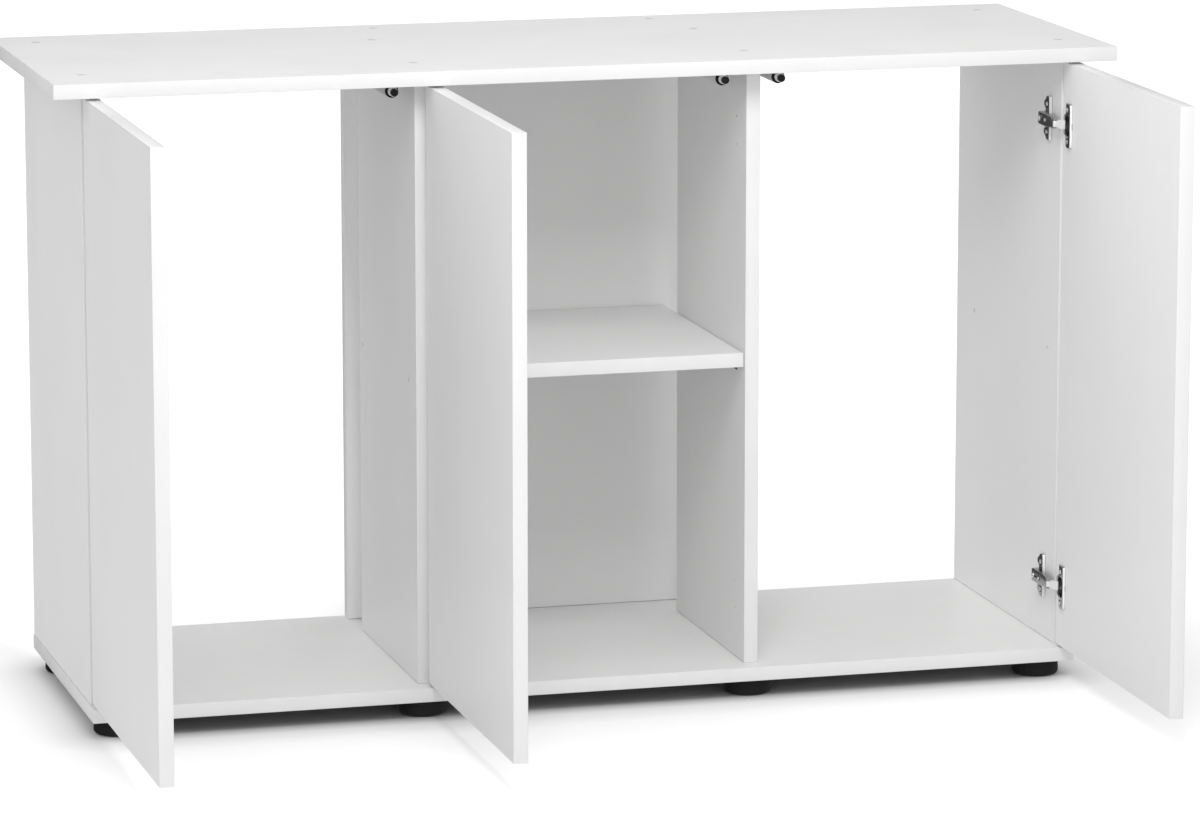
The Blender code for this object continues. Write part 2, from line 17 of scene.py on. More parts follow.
import bpy
import numpy as np
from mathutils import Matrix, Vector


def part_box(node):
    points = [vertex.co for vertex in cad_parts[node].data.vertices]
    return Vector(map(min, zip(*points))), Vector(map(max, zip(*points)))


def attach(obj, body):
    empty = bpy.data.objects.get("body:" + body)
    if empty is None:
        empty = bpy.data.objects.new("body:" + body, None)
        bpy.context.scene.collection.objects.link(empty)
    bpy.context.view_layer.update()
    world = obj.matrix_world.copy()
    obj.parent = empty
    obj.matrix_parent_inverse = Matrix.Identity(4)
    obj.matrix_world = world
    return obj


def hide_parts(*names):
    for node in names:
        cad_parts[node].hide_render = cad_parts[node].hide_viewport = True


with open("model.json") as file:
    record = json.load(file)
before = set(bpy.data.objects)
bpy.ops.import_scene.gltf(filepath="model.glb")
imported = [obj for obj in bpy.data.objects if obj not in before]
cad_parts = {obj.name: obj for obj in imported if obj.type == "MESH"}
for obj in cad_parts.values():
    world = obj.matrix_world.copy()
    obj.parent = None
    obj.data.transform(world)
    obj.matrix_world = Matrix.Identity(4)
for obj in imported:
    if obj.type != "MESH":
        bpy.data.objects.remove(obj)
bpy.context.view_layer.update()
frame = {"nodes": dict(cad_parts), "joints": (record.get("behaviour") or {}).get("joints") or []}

log = logging.getLogger("cabinet")

MM = 0.001
Colour = tuple[float, float, float]
Array = np.ndarray


# ---------------------------------------------------------------- shapes


@dataclass(frozen=True)
class Shape:
    """A closed surface: points, four-sided faces, and flat caps of any number of sides."""

    points: Array
    quads: Array
    caps: tuple[tuple[int, ...], ...] = ()

    def __add__(self, other: Shape) -> Shape:
        """Both shapes as one."""
        step = len(self.points)
        caps = self.caps + tuple(tuple(i + step for i in cap) for cap in other.caps)
        return Shape(np.vstack((self.points, other.points)), np.vstack((self.quads, other.quads + step)), caps)

    def reversed(self) -> Shape:
        """The same surface with every face turned round."""
        return Shape(self.points, self.quads[:, ::-1], tuple(cap[::-1] for cap in self.caps))

    def volume(self) -> float:
        """Volume inside, negative where the faces point inwards: the sum of the cones from the origin to each face."""
        p = self.points
        a, b, c, d = (p[self.quads[:, i]] for i in range(4))
        total = np.einsum("ij,ij->", a, np.cross(b, c)) + np.einsum("ij,ij->", a, np.cross(c, d))
        for cap in self.caps:
            ring = p[list(cap)]
            total += np.einsum("ij,ij->", np.repeat(ring[:1], len(cap) - 2, 0), np.cross(ring[1:-1], ring[2:]))
        return float(total) / 6

    def facing_out(self) -> Shape:
        """The surface with its faces pointing outwards."""
        return self.reversed() if self.volume() < 0 else self

    def placed(self, axes: Array, origin: Array) -> Shape:
        """Carries the shape into another frame.

        Args:
            axes: Where the shape's x, y and z directions go, as the columns of a 3 by 3 array.
            origin: Where the shape's origin goes.

        Returns:
            The shape in the new frame, still facing out if the frame is a mirrored one.
        """
        moved = Shape(self.points @ np.asarray(axes).T + np.asarray(origin), self.quads, self.caps)
        return moved.reversed() if np.linalg.det(axes) < 0 else moved

    def at(self, x: float, y: float, z: float) -> Shape:
        """The shape moved by this much."""
        return self.placed(np.eye(3), np.array((x, y, z)))


def merged(shapes: Iterable[Shape]) -> Shape:
    """Several shapes as one."""
    return functools.reduce(operator.add, shapes)


# Columns that stand a shape drawn in x and y, with its thickness along z, on another axis
STAND_ON_Y = np.array(((1.0, 0, 0), (0, 0, 1.0), (0, 1.0, 0)))  # thickness goes along y, the drawing's y along z
STAND_ON_X = np.array(((0, 0, 1.0), (1.0, 0, 0), (0, 1.0, 0)))  # thickness goes along x, the drawing's x along y


def stack(rings: Array, closed_tube: bool = False) -> Shape:
    """Joins rings of points, each to the next, with four-sided faces.

    Args:
        rings: Points as (ring, place round the ring, xyz).
        closed_tube: Whether the last ring also joins the first. If not, the end rings are closed with flat caps.

    Returns:
        The closed shape, facing out.
    """
    count, around = rings.shape[:2]
    index = np.arange(count * around).reshape(count, around)
    upper = np.roll(index, -1, 0) if closed_tube else index[1:]
    lower = index if closed_tube else index[:-1]
    quads = np.stack((lower, np.roll(lower, -1, 1), np.roll(upper, -1, 1), upper), -1).reshape(-1, 4)
    caps = () if closed_tube else (tuple(index[0][::-1].tolist()), tuple(index[-1].tolist()))
    return Shape(rings.reshape(-1, 3), quads, caps).facing_out()


def revolve(profile: list[tuple[float, float]], sides: int = 48, loop: bool = False) -> Shape:
    """Turns a profile about z: each point is (r cos t, r sin t, z), with t going once round.

    Args:
        profile: (radius, height) of each point along the profile.
        sides: Number of steps round.
        loop: Whether the profile closes on itself, as a ring's does.

    Returns:
        The closed shape.
    """
    r, z = np.array(profile, float).T
    t = np.arange(sides) * 2 * math.pi / sides
    rings = np.stack((np.outer(r, np.cos(t)), np.outer(r, np.sin(t)), np.repeat(z[:, None], sides, 1)), -1)
    return stack(rings, loop)


def tube(inner: float, outer: float, low: float, high: float, ease: float, sides: int = 48) -> Shape:
    """A round tube about z with its four rims eased: a rounded rectangle turned about z."""
    half_r, half_z = (outer - inner) / 2, (high - low) / 2
    path = rounded_rectangle(2 * half_r, 2 * half_z, ease, 3) + ((inner + outer) / 2, (low + high) / 2)
    return revolve([tuple(point) for point in path], sides, loop=True)


def rounded_rectangle(width: float, height: float, radius: float, steps: int = 5) -> Array:
    """A rectangle about the origin, counter-clockwise, each corner a quarter circle of that radius."""
    t = np.linspace(0, math.pi / 2, steps)
    corner = radius * np.stack((np.cos(t), np.sin(t)), -1)
    points = []
    for turn, (sx, sy) in enumerate(((1, 1), (-1, 1), (-1, -1), (1, -1))):
        c, s = (1, 0, -1, 0)[turn], (0, 1, 0, -1)[turn]
        turned = corner @ np.array(((c, s), (-s, c)))
        points.append(turned + (sx * (width / 2 - radius), sy * (height / 2 - radius)))
    return np.vstack(points)


def slot_outline(length: float, width: float, steps: int = 14) -> Array:
    """A slot with round ends, its length along y, counter-clockwise."""
    t = np.linspace(0, math.pi, steps)
    half, radius = (length - width) / 2, width / 2
    end = np.stack((radius * np.cos(t), radius * np.sin(t) + half), -1)
    return np.vstack((end, -end))


def prism(outline: Array, low: float, high: float, ease: float, steps: int = 3) -> Shape:
    """Draws an outline up along z and rounds its rims.

    Near each end the outline moves inwards by e(1 - sin t) while it rises by e(1 - cos t), a quarter circle.

    Args:
        outline: (x, y) points, counter-clockwise.
        low: Lower end.
        high: Upper end.
        ease: Radius e of the rims.
        steps: Steps round each rim.

    Returns:
        The closed shape.
    """
    along = np.roll(outline, -1, 0) - np.roll(outline, 1, 0)
    normal = np.stack((along[:, 1], -along[:, 0]), -1) / np.linalg.norm(along, axis=1, keepdims=True)
    t = np.linspace(0, math.pi / 2, steps + 1)
    inset = ease * (1 - np.sin(t))
    rise = ease * (1 - np.cos(t))
    insets = np.concatenate((inset, inset[::-1]))
    heights = np.concatenate((low + rise, high - rise[::-1]))
    rings = outline[None] - normal[None] * insets[:, None, None]
    return stack(np.concatenate((rings, np.repeat(heights[:, None, None], len(outline), 1)), -1))


def block(low: Array, high: Array, ease: float) -> Shape:
    """A block between two corners with every edge rounded."""
    low, high = np.asarray(low, float), np.asarray(high, float)
    size, middle = high - low, (low + high) / 2
    outline = rounded_rectangle(size[0], size[1], min(1.2 * ease, 0.49 * min(size[:2])), 4) + middle[:2]
    return prism(outline, low[2], high[2], ease)


def smooth_step(x: Array) -> Array:
    """0 below 0, 1 above 1, and 3x² - 2x³ between."""
    x = np.clip(x, 0, 1)
    return x * x * (3 - 2 * x)


def channel_outline(height: float, depth: float, face: float, wall: float, turn: float) -> Array:
    """A channel's cross-section, open towards lower x: a middle line with a wall of even thickness about it.

    Args:
        height: Overall height, along y.
        depth: How far the flanges reach back from the face.
        face: x of the outer face.
        wall: Thickness of the metal.
        turn: Radius of the middle line's two corners.

    Returns:
        (x, y) points round the section, counter-clockwise.
    """
    half, front, back = (height - wall) / 2, face - wall / 2, face - depth
    t = np.linspace(0, math.pi / 2, 6)
    bend = np.stack((front - turn + turn * np.sin(t), -half + turn - turn * np.cos(t)), -1)
    bend_normal = np.stack((np.sin(t), -np.cos(t)), -1)
    line = np.vstack(((back, -half), bend, bend[::-1] * (1, -1), (back, half)))
    normal = np.vstack(((0, -1), bend_normal, bend_normal[::-1] * (1, -1), (0, 1)))
    return np.vstack((line + normal * wall / 2, (line - normal * wall / 2)[::-1]))


def screw_head(radius: float, height: float, recess: float) -> Shape:
    """A domed screw head with a cross recess, standing on z = 0.

    The top is a height over a polar grid: a dome h(1 - 0.4 (r/R)²), less the recess where the point lies within the
    arms of the cross.

    Args:
        radius: Radius R of the head.
        height: Height h of the dome's middle.
        recess: Depth of the cross.

    Returns:
        The closed shape.
    """
    sides = 40
    t = np.arange(sides) * 2 * math.pi / sides
    r = radius * np.array((1, 1, 0.97, 0.9, 0.78, 0.66, 0.56, 0.46, 0.36, 0.26, 0.16, 0.06))
    x, y = np.outer(r, np.cos(t)), np.outer(r, np.sin(t))
    dome = height * (1 - 0.4 * (r / radius) ** 2)
    dome[:3] = 0, 0.8 * dome[1], dome[2]
    arm, reach = 0.17 * radius, 0.62 * radius
    narrow, far = np.minimum(abs(x), abs(y)), np.maximum(abs(x), abs(y))
    inside = smooth_step((arm - narrow) / (0.09 * radius) + 0.5) * smooth_step((reach - far) / (0.12 * radius) + 0.5)
    return stack(np.stack((x, y, dome[:, None] - recess * inside), -1))


# ---------------------------------------------------------------- finishes


class Grain(Enum):
    """Relief of a surface."""

    PEBBLE = "fine pebble of pressed melamine"
    DRAWN = "lines along a drawn strip"
    SPARK = "eroded mould"
    ROLLED = "rolled and plated steel"


@dataclass(frozen=True)
class Finish:
    """A finish: its colours, its gloss and its relief. Lengths are in metres."""

    name: str
    slot: str
    base: Colour
    shade: Colour
    worn: Colour
    gloss: tuple[float, float]  # roughness, from its lowest to its highest
    grain: Grain
    grain_size: float
    grain_depth: float
    edge_radius: float
    wear: float = 0.3
    dust: float = 0.0
    metallic: float = 0.0
    ior: float = 1.46
    specular: float = 0.5


BOARD = Finish(
    "melamine_board", "white_board", (0.862, 0.862, 0.860), (0.846, 0.846, 0.845), (0.80, 0.795, 0.785),
    (0.44, 0.50), Grain.PEBBLE, 0.9 * MM, 0.018 * MM, 0.6 * MM, wear=0.35, dust=0.05, specular=0.25,
)  # fmt: skip
EDGING = Finish(
    "edging_strip", "white_board", (0.845, 0.845, 0.845), (0.825, 0.825, 0.827), (0.77, 0.77, 0.76),
    (0.30, 0.40), Grain.DRAWN, 0.6 * MM, 0.008 * MM, 0.4 * MM, wear=0.3, dust=0.03, specular=0.3,
)  # fmt: skip
CAP = Finish(
    "screw_cap", "white_board", (0.70, 0.70, 0.70), (0.66, 0.66, 0.662), (0.60, 0.60, 0.59),
    (0.30, 0.42), Grain.SPARK, 0.5 * MM, 0.01 * MM, 0.1 * MM, wear=0.6, dust=0.12, specular=0.3,
)  # fmt: skip
NICKEL = Finish(
    "nickel_plate", "nickel", (0.52, 0.52, 0.52), (0.30, 0.30, 0.305), (0.90, 0.90, 0.90),
    (0.16, 0.30), Grain.ROLLED, 0.7 * MM, 0.012 * MM, 0.25 * MM, wear=0.8, metallic=1.0,
)  # fmt: skip
# A near-white, hardly metallic finish that stands in for light: a painted highlight on the hinge faces turned to one
# side, and a painted reflection on the latch's sleeve.
PAINTED_HIGHLIGHT = Finish(
    "painted_highlight", "nickel", (0.97, 0.97, 0.97), (0.93, 0.93, 0.93), (0.99, 0.99, 0.99),
    (0.22, 0.34), Grain.DRAWN, 0.4 * MM, 0.006 * MM, 0.2 * MM, wear=0.6, metallic=0.05, specular=0.9,
)  # fmt: skip
SATIN = Finish(
    "satin_link", "nickel", (0.93, 0.93, 0.93), (0.84, 0.84, 0.845), (0.97, 0.97, 0.97),
    (0.26, 0.40), Grain.ROLLED, 0.7 * MM, 0.010 * MM, 0.25 * MM, wear=0.8, metallic=0.35,
)  # fmt: skip
ZINC = Finish(
    "zinc_screw", "nickel", (0.86, 0.86, 0.86), (0.62, 0.62, 0.63), (0.95, 0.95, 0.95),
    (0.20, 0.34), Grain.ROLLED, 0.4 * MM, 0.008 * MM, 0.15 * MM, wear=0.7, metallic=1.0,
)  # fmt: skip
# Near-black finish for the sheets on the arm's slots and the rings round the screw heads: painted shade that stands in
# for the shade in these hollows, not a colour of the steel.
PAINTED_SHADE = Finish(
    "painted_recess_shade", "nickel", (0.035, 0.035, 0.036), (0.02, 0.02, 0.02), (0.12, 0.12, 0.12),
    (0.5, 0.7), Grain.SPARK, 0.4 * MM, 0.01 * MM, 0.1 * MM, wear=0.2, metallic=0.4,
)  # fmt: skip
BLACK = Finish(
    "black_plastic", "black_plastic", (0.006, 0.006, 0.006), (0.010, 0.010, 0.010), (0.03, 0.03, 0.03),
    (0.34, 0.46), Grain.SPARK, 0.5 * MM, 0.02 * MM, 0.5 * MM, wear=0.5, dust=0.03, specular=0.14,
)  # fmt: skip
MAGNET = Finish(
    "magnet_tip", "black_plastic", (0.010, 0.010, 0.010), (0.014, 0.014, 0.014), (0.30, 0.30, 0.30),
    (0.24, 0.36), Grain.SPARK, 0.5 * MM, 0.01 * MM, 0.25 * MM, wear=0.9, specular=0.2,
)  # fmt: skip
GREY = Finish(
    "grey_plastic", "grey_plastic", (0.60, 0.60, 0.605), (0.54, 0.54, 0.545), (0.70, 0.70, 0.70),
    (0.38, 0.52), Grain.SPARK, 0.5 * MM, 0.015 * MM, 0.4 * MM, wear=0.4, dust=0.04,
)  # fmt: skip


class Graph:
    """A node tree being laid out, with short calls for its nodes and links."""

    def __init__(self, tree: bpy.types.NodeTree) -> None:
        """Takes the tree to lay out."""
        self.tree = tree

    def add(self, kind: str, settings: dict | None = None, **values: object) -> bpy.types.Node:
        """Adds a node.

        Args:
            kind: Name of the node's type, without its ShaderNode start.
            settings: The node's own settings, by name.
            **values: What each input takes, by the input's name with _ for a space: a socket to link, or a value.

        Returns:
            The node.
        """
        node = self.tree.nodes.new("ShaderNode" + kind)
        for name, value in (settings or {}).items():
            setattr(node, name, value)
        for name, value in values.items():
            self.feed(node.inputs[int(name[1:]) if name[1:].isdigit() else name.replace("_", " ")], value)
        return node

    def feed(self, socket: bpy.types.NodeSocket, value: object) -> None:
        """Links a socket to another, or sets its value."""
        if isinstance(value, bpy.types.NodeSocket):
            self.tree.links.new(value, socket)
        else:
            socket.default_value = value

    def end(self, kind: str, shader: bpy.types.Node) -> None:
        """Leads a shader to the tree's output node of this kind."""
        self.feed(self.add(kind).inputs["Surface"], shader.outputs[0])

    def math(self, operation: str, a: object, b: object = 0.0, clamp: bool = False) -> bpy.types.NodeSocket:
        """One step of arithmetic; gives its output."""
        return self.add("Math", {"operation": operation, "use_clamp": clamp}, i0=a, i1=b).outputs[0]

    def spread(self, value: object, low: tuple, high: tuple) -> bpy.types.NodeSocket:
        """Carries a value from one range to another, held within it; gives its output."""
        node = self.add("MapRange", None, Value=value, From_Min=low[0], From_Max=low[1], To_Min=high[0], To_Max=high[1])
        return node.outputs[0]

    def blend(self, mask: object, first: object, second: object) -> bpy.types.NodeSocket:
        """Mixes two colours by a mask; gives its output."""
        node = self.add("Mix", {"data_type": "RGBA"})
        self.feed(node.inputs[0], mask)
        for socket, value in ((node.inputs[6], first), (node.inputs[7], second)):
            self.feed(socket, value if isinstance(value, bpy.types.NodeSocket) else (*value, 1.0))
        return node.outputs[2]


def fresh_graph(owner: bpy.types.Material | bpy.types.World) -> Graph:
    """The graph of a material or a world, emptied."""
    owner.use_nodes = True
    owner.node_tree.nodes.clear()
    return Graph(owner.node_tree)


class Effects:
    """The effects that several finishes share. Each is a node group, made once and placed with its own values."""

    def __init__(self) -> None:
        """Makes every group."""
        self.pebble = self._pebble()
        self.drawn = self._drawn()
        self.wear = self._wear()
        self.dust = self._dust()
        self.handling = self._handling()

    @staticmethod
    def _start(name: str, inputs: dict[str, str], outputs: dict[str, str]) -> tuple:
        """Starts a group.

        Args:
            name: The group's name.
            inputs: Type of each input, by its name.
            outputs: Type of each output, by its name.

        Returns:
            (group, graph, its input node's sockets, its output node's sockets)
        """
        tree = bpy.data.node_groups.new(name, "ShaderNodeTree")
        for direction, sockets in (("INPUT", inputs), ("OUTPUT", outputs)):
            for label, kind in sockets.items():
                tree.interface.new_socket(label, in_out=direction, socket_type="NodeSocket" + kind)
        graph = Graph(tree)
        source = tree.nodes.new("NodeGroupInput")
        target = tree.nodes.new("NodeGroupOutput")
        return tree, graph, source.outputs, target.inputs

    def _pebble(self) -> bpy.types.NodeTree:
        """Small soft bumps over slow changes of tone: Height is cells and noise together, Tone is wide noise."""
        tree, g, given, out = self._start(
            "fine_pebble", {"Vector": "Vector", "Size": "Float"}, {"Height": "Float", "Tone": "Float"}
        )
        scale = g.math("DIVIDE", 1.0, given["Size"])
        noise = g.add("TexNoise", None, Vector=given["Vector"], Scale=scale, Detail=2.0, Roughness=0.55)
        cells = g.add("TexVoronoi", {"feature": "SMOOTH_F1"}, Vector=given["Vector"], Scale=scale)
        g.feed(cells.inputs["Smoothness"], 0.6)
        bumps = g.math("MULTIPLY", cells.outputs["Distance"], 0.6)
        g.feed(out["Height"], g.math("ADD", g.math("MULTIPLY", noise.outputs[0], 0.7), bumps))
        wide = g.add("TexNoise", None, Vector=given["Vector"], Scale=4.5, Detail=4.0, Roughness=0.6)
        g.feed(out["Tone"], g.spread(wide.outputs[0], (0.35, 0.65), (0.0, 1.0)))
        return tree

    def _drawn(self) -> bpy.types.NodeTree:
        """Fine lines along z or along the length of a strip: noise squeezed across the line and drawn out along it."""
        tree, g, given, out = self._start(
            "drawn_lines", {"Vector": "Vector", "Size": "Float"}, {"Height": "Float", "Tone": "Float"}
        )
        scale = g.math("DIVIDE", 1.0, given["Size"])
        squeezed = g.add("VectorMath", {"operation": "MULTIPLY"}, i0=given["Vector"], i1=(0.05, 1.0, 0.03))
        lines = g.add("TexNoise", None, Vector=squeezed.outputs[0], Scale=scale, Detail=3.0, Roughness=0.6)
        g.feed(out["Height"], lines.outputs[0])
        wide = g.add("TexNoise", None, Vector=given["Vector"], Scale=11.0, Detail=3.0, Roughness=0.55)
        g.feed(out["Tone"], g.spread(wide.outputs[0], (0.35, 0.65), (0.0, 1.0)))
        return tree

    def _wear(self) -> bpy.types.NodeTree:
        """Edges: Normal rounds them, and Mask is high where the rounded and the true surface part, broken by noise."""
        tree, g, given, out = self._start(
            "edge_wear", {"Vector": "Vector", "Radius": "Float"}, {"Mask": "Float", "Normal": "Vector"}
        )
        rounded = g.add("Bevel", {"samples": 2}, Radius=given["Radius"])
        true = g.add("NewGeometry")
        same = g.add("VectorMath", {"operation": "DOT_PRODUCT"}, i0=rounded.outputs[0], i1=true.outputs["Normal"])
        edge = g.math("MULTIPLY", g.math("SUBTRACT", 1.0, same.outputs["Value"]), 5.0, clamp=True)
        patches = g.add("TexNoise", None, Vector=given["Vector"], Scale=140.0, Detail=3.0, Roughness=0.65)
        broken = g.spread(patches.outputs[0], (0.38, 0.62), (0.25, 1.0))
        g.feed(out["Mask"], g.math("MULTIPLY", edge, broken, clamp=True))
        g.feed(out["Normal"], rounded.outputs[0])
        return tree

    def _dust(self) -> bpy.types.NodeTree:
        """Dust that settles on what faces up: Mask is the surface's upward part times patchy noise."""
        tree, g, given, out = self._start("settled_dust", {"Vector": "Vector", "Amount": "Float"}, {"Mask": "Float"})
        true = g.add("NewGeometry")
        parts = g.add("SeparateXYZ", None, Vector=true.outputs["Normal"])
        up = g.spread(parts.outputs["Z"], (0.4, 1.0), (0.0, 1.0))
        patches = g.add("TexNoise", None, Vector=given["Vector"], Scale=38.0, Detail=5.0, Roughness=0.7)
        patchy = g.spread(patches.outputs[0], (0.35, 0.75), (0.2, 1.0))
        g.feed(out["Mask"], g.math("MULTIPLY", g.math("MULTIPLY", up, patchy), given["Amount"], clamp=True))
        return tree

    def _handling(self) -> bpy.types.NodeTree:
        """Where hands and cloths have been: Roughness runs between two values by soft, stretched noise."""
        tree, g, given, out = self._start(
            "handling_marks", {"Vector": "Vector", "Low": "Float", "High": "Float"}, {"Roughness": "Float"}
        )
        stretched = g.add("VectorMath", {"operation": "MULTIPLY"}, i0=given["Vector"], i1=(1.0, 1.0, 0.45))
        marks = g.add("TexNoise", None, Vector=stretched.outputs[0], Scale=9.0, Detail=5.0, Roughness=0.6)
        g.feed(marks.inputs["Distortion"], 0.5)
        g.feed(out["Roughness"], g.spread(marks.outputs[0], (0.32, 0.68), (given["Low"], given["High"])))
        return tree


class FinishShop:
    """Makes each finish's material once and dresses pieces in it."""

    DUST = (0.62, 0.60, 0.57)

    def __init__(self) -> None:
        """Starts with the shared effects and no materials."""
        self.effects = Effects()
        self.made: dict[str, bpy.types.Material] = {}

    def material(self, finish: Finish) -> bpy.types.Material:
        """The finish's material, made the first time it is asked for."""
        if finish.name not in self.made:
            self.made[finish.name] = self._make(finish)
        return self.made[finish.name]

    def dress(self, obj: bpy.types.Object, finish: Finish) -> None:
        """Gives an object one finish all over."""
        obj.data.materials.clear()
        obj.data.materials.append(self.material(finish))

    def _group(self, g: Graph, tree: bpy.types.NodeTree, **values: object) -> bpy.types.Node:
        """Places one shared effect."""
        node = g.add("Group", {"node_tree": tree})
        for name, value in values.items():
            g.feed(node.inputs[name], value)
        return node

    def _make(self, finish: Finish) -> bpy.types.Material:
        """Lays out a finish: tone, wear and dust over the colour, handling marks in the gloss, grain in the relief."""
        material = bpy.data.materials.new(finish.name)
        g = fresh_graph(material)
        place = g.add("TexCoord").outputs["Object"]
        relief = self.effects.drawn if finish.grain is Grain.DRAWN else self.effects.pebble
        grain = self._group(g, relief, Vector=place, Size=finish.grain_size)
        wear = self._group(g, self.effects.wear, Vector=place, Radius=finish.edge_radius)
        dust = self._group(g, self.effects.dust, Vector=place, Amount=finish.dust)
        marks = self._group(g, self.effects.handling, Vector=place, Low=finish.gloss[0], High=finish.gloss[1])
        colour = g.blend(grain.outputs["Tone"], finish.base, finish.shade)
        colour = g.blend(g.math("MULTIPLY", wear.outputs["Mask"], finish.wear), colour, finish.worn)
        colour = g.blend(dust.outputs["Mask"], colour, self.DUST)
        strength = 0.35 if finish.grain is Grain.PEBBLE else 0.5
        bump = g.add("Bump", None, Height=grain.outputs["Height"], Distance=finish.grain_depth, Strength=strength)
        g.feed(bump.inputs["Normal"], wear.outputs["Normal"])
        shader = g.add("BsdfPrincipled", None, Base_Color=colour, Roughness=marks.outputs["Roughness"])
        shader.inputs["Metallic"].default_value = finish.metallic
        shader.inputs["IOR"].default_value = finish.ior
        shader.inputs["Specular IOR Level"].default_value = finish.specular
        g.feed(shader.inputs["Normal"], bump.outputs[0])
        g.end("OutputMaterial", shader)
        return material


def in_scene(name: str, data: bpy.types.ID) -> bpy.types.Object:
    """A new object of this mesh, light or camera, in the scene."""
    obj = bpy.data.objects.new(name, data)
    bpy.context.scene.collection.objects.link(obj)
    return obj


@dataclass
class Workshop:
    """Turns shapes into pieces of the cabinet: makes the mesh, dresses it and hangs it on its body."""

    shop: FinishShop
    crease: float = math.radians(38)  # faces that meet at less look smooth
    turned: float = 0.6  # cosine above which a face counts as turned to the bright side

    def piece(
        self,
        name: str,
        shape: Shape,
        finish: Finish,
        body: str,
        replaces: tuple[str, ...] = (),
        bright_side: Array | None = None,
    ) -> None:
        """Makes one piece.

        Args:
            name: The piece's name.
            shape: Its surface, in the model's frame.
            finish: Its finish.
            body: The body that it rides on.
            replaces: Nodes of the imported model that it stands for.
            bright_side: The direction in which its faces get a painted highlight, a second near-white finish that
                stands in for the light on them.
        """
        mesh = bpy.data.meshes.new(name)
        mesh.from_pydata(shape.points.tolist(), [], [*shape.quads.tolist(), *map(list, shape.caps)])
        mesh.validate()
        mesh.polygons.foreach_set("use_smooth", np.ones(len(mesh.polygons), bool))
        mesh.set_sharp_from_angle(angle=self.crease)
        mesh.update()
        obj = in_scene(name, mesh)
        self.shop.dress(obj, finish)
        if bright_side is not None:
            # Faces turned to bright_side get the painted highlight finish.
            mesh.materials.append(self.shop.material(PAINTED_HIGHLIGHT))
            normals = np.empty(len(mesh.polygons) * 3)
            mesh.polygons.foreach_get("normal", normals)
            bright = normals.reshape(-1, 3) @ bright_side > self.turned
            mesh.polygons.foreach_set("material_index", bright.astype(np.int32))
        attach(obj, body)
        if replaces:
            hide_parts(*replaces)
        log.info("%s: %d points on %s", name, len(shape.points), body)

    def keep(self, node: str, finish: Finish) -> None:
        """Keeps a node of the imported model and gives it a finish."""
        self.shop.dress(frame["nodes"][node], finish)
        log.info("%s: kept, %s", node, finish.name)


# ---------------------------------------------------------------- boards


class Edge(Enum):
    """An edge of a board, as the axis that it faces along and its sign."""

    LEFT = (0, -1)
    RIGHT = (0, 1)
    FRONT = (1, -1)
    REAR = (1, 1)
    BOTTOM = (2, -1)
    TOP = (2, 1)


@dataclass(frozen=True)
class EdgeStrip:
    """The strip glued to a board's edge. It stands a hair proud, and laps the board's faces by less."""

    proud: float = 0.15 * MM
    depth: float = 1.0 * MM
    lap: float = 0.06 * MM
    ease: float = 0.45 * MM

    def shape(self, low: Array, high: Array, edge: Edge, runs_past: bool = False) -> Shape:
        """The strip on one edge of a board.

        Args:
            low: The board's lowest corner.
            high: Its highest corner.
            edge: The edge.
            runs_past: Whether the strip covers the ends of the strips beside it.

        Returns:
            The strip, as a rounded block.
        """
        axis, sign = edge.value
        thin = int(np.argmin(high - low))
        along = 3 - axis - thin
        start, end = low.copy(), high.copy()
        if sign < 0:
            start[axis], end[axis] = low[axis] - self.proud, low[axis] + self.depth
        else:
            start[axis], end[axis] = high[axis] - self.depth, high[axis] + self.proud
        start[thin] -= self.lap
        end[thin] += self.lap
        if runs_past:
            start[along] -= self.proud
            end[along] += self.proud
        return block(start, end, self.ease)

    def round_board(self, low: Array, high: Array, edges: tuple[Edge, ...]) -> Shape:
        """Strips on several edges. The first axis named runs past the others."""
        first = edges[0].value[0]
        return merged(self.shape(low, high, edge, edge.value[0] == first) for edge in edges)


def node_box(node: str) -> tuple[Array, Array]:
    """A node's lowest and highest corner at rest."""
    low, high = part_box(node)
    return np.array(low), np.array(high)


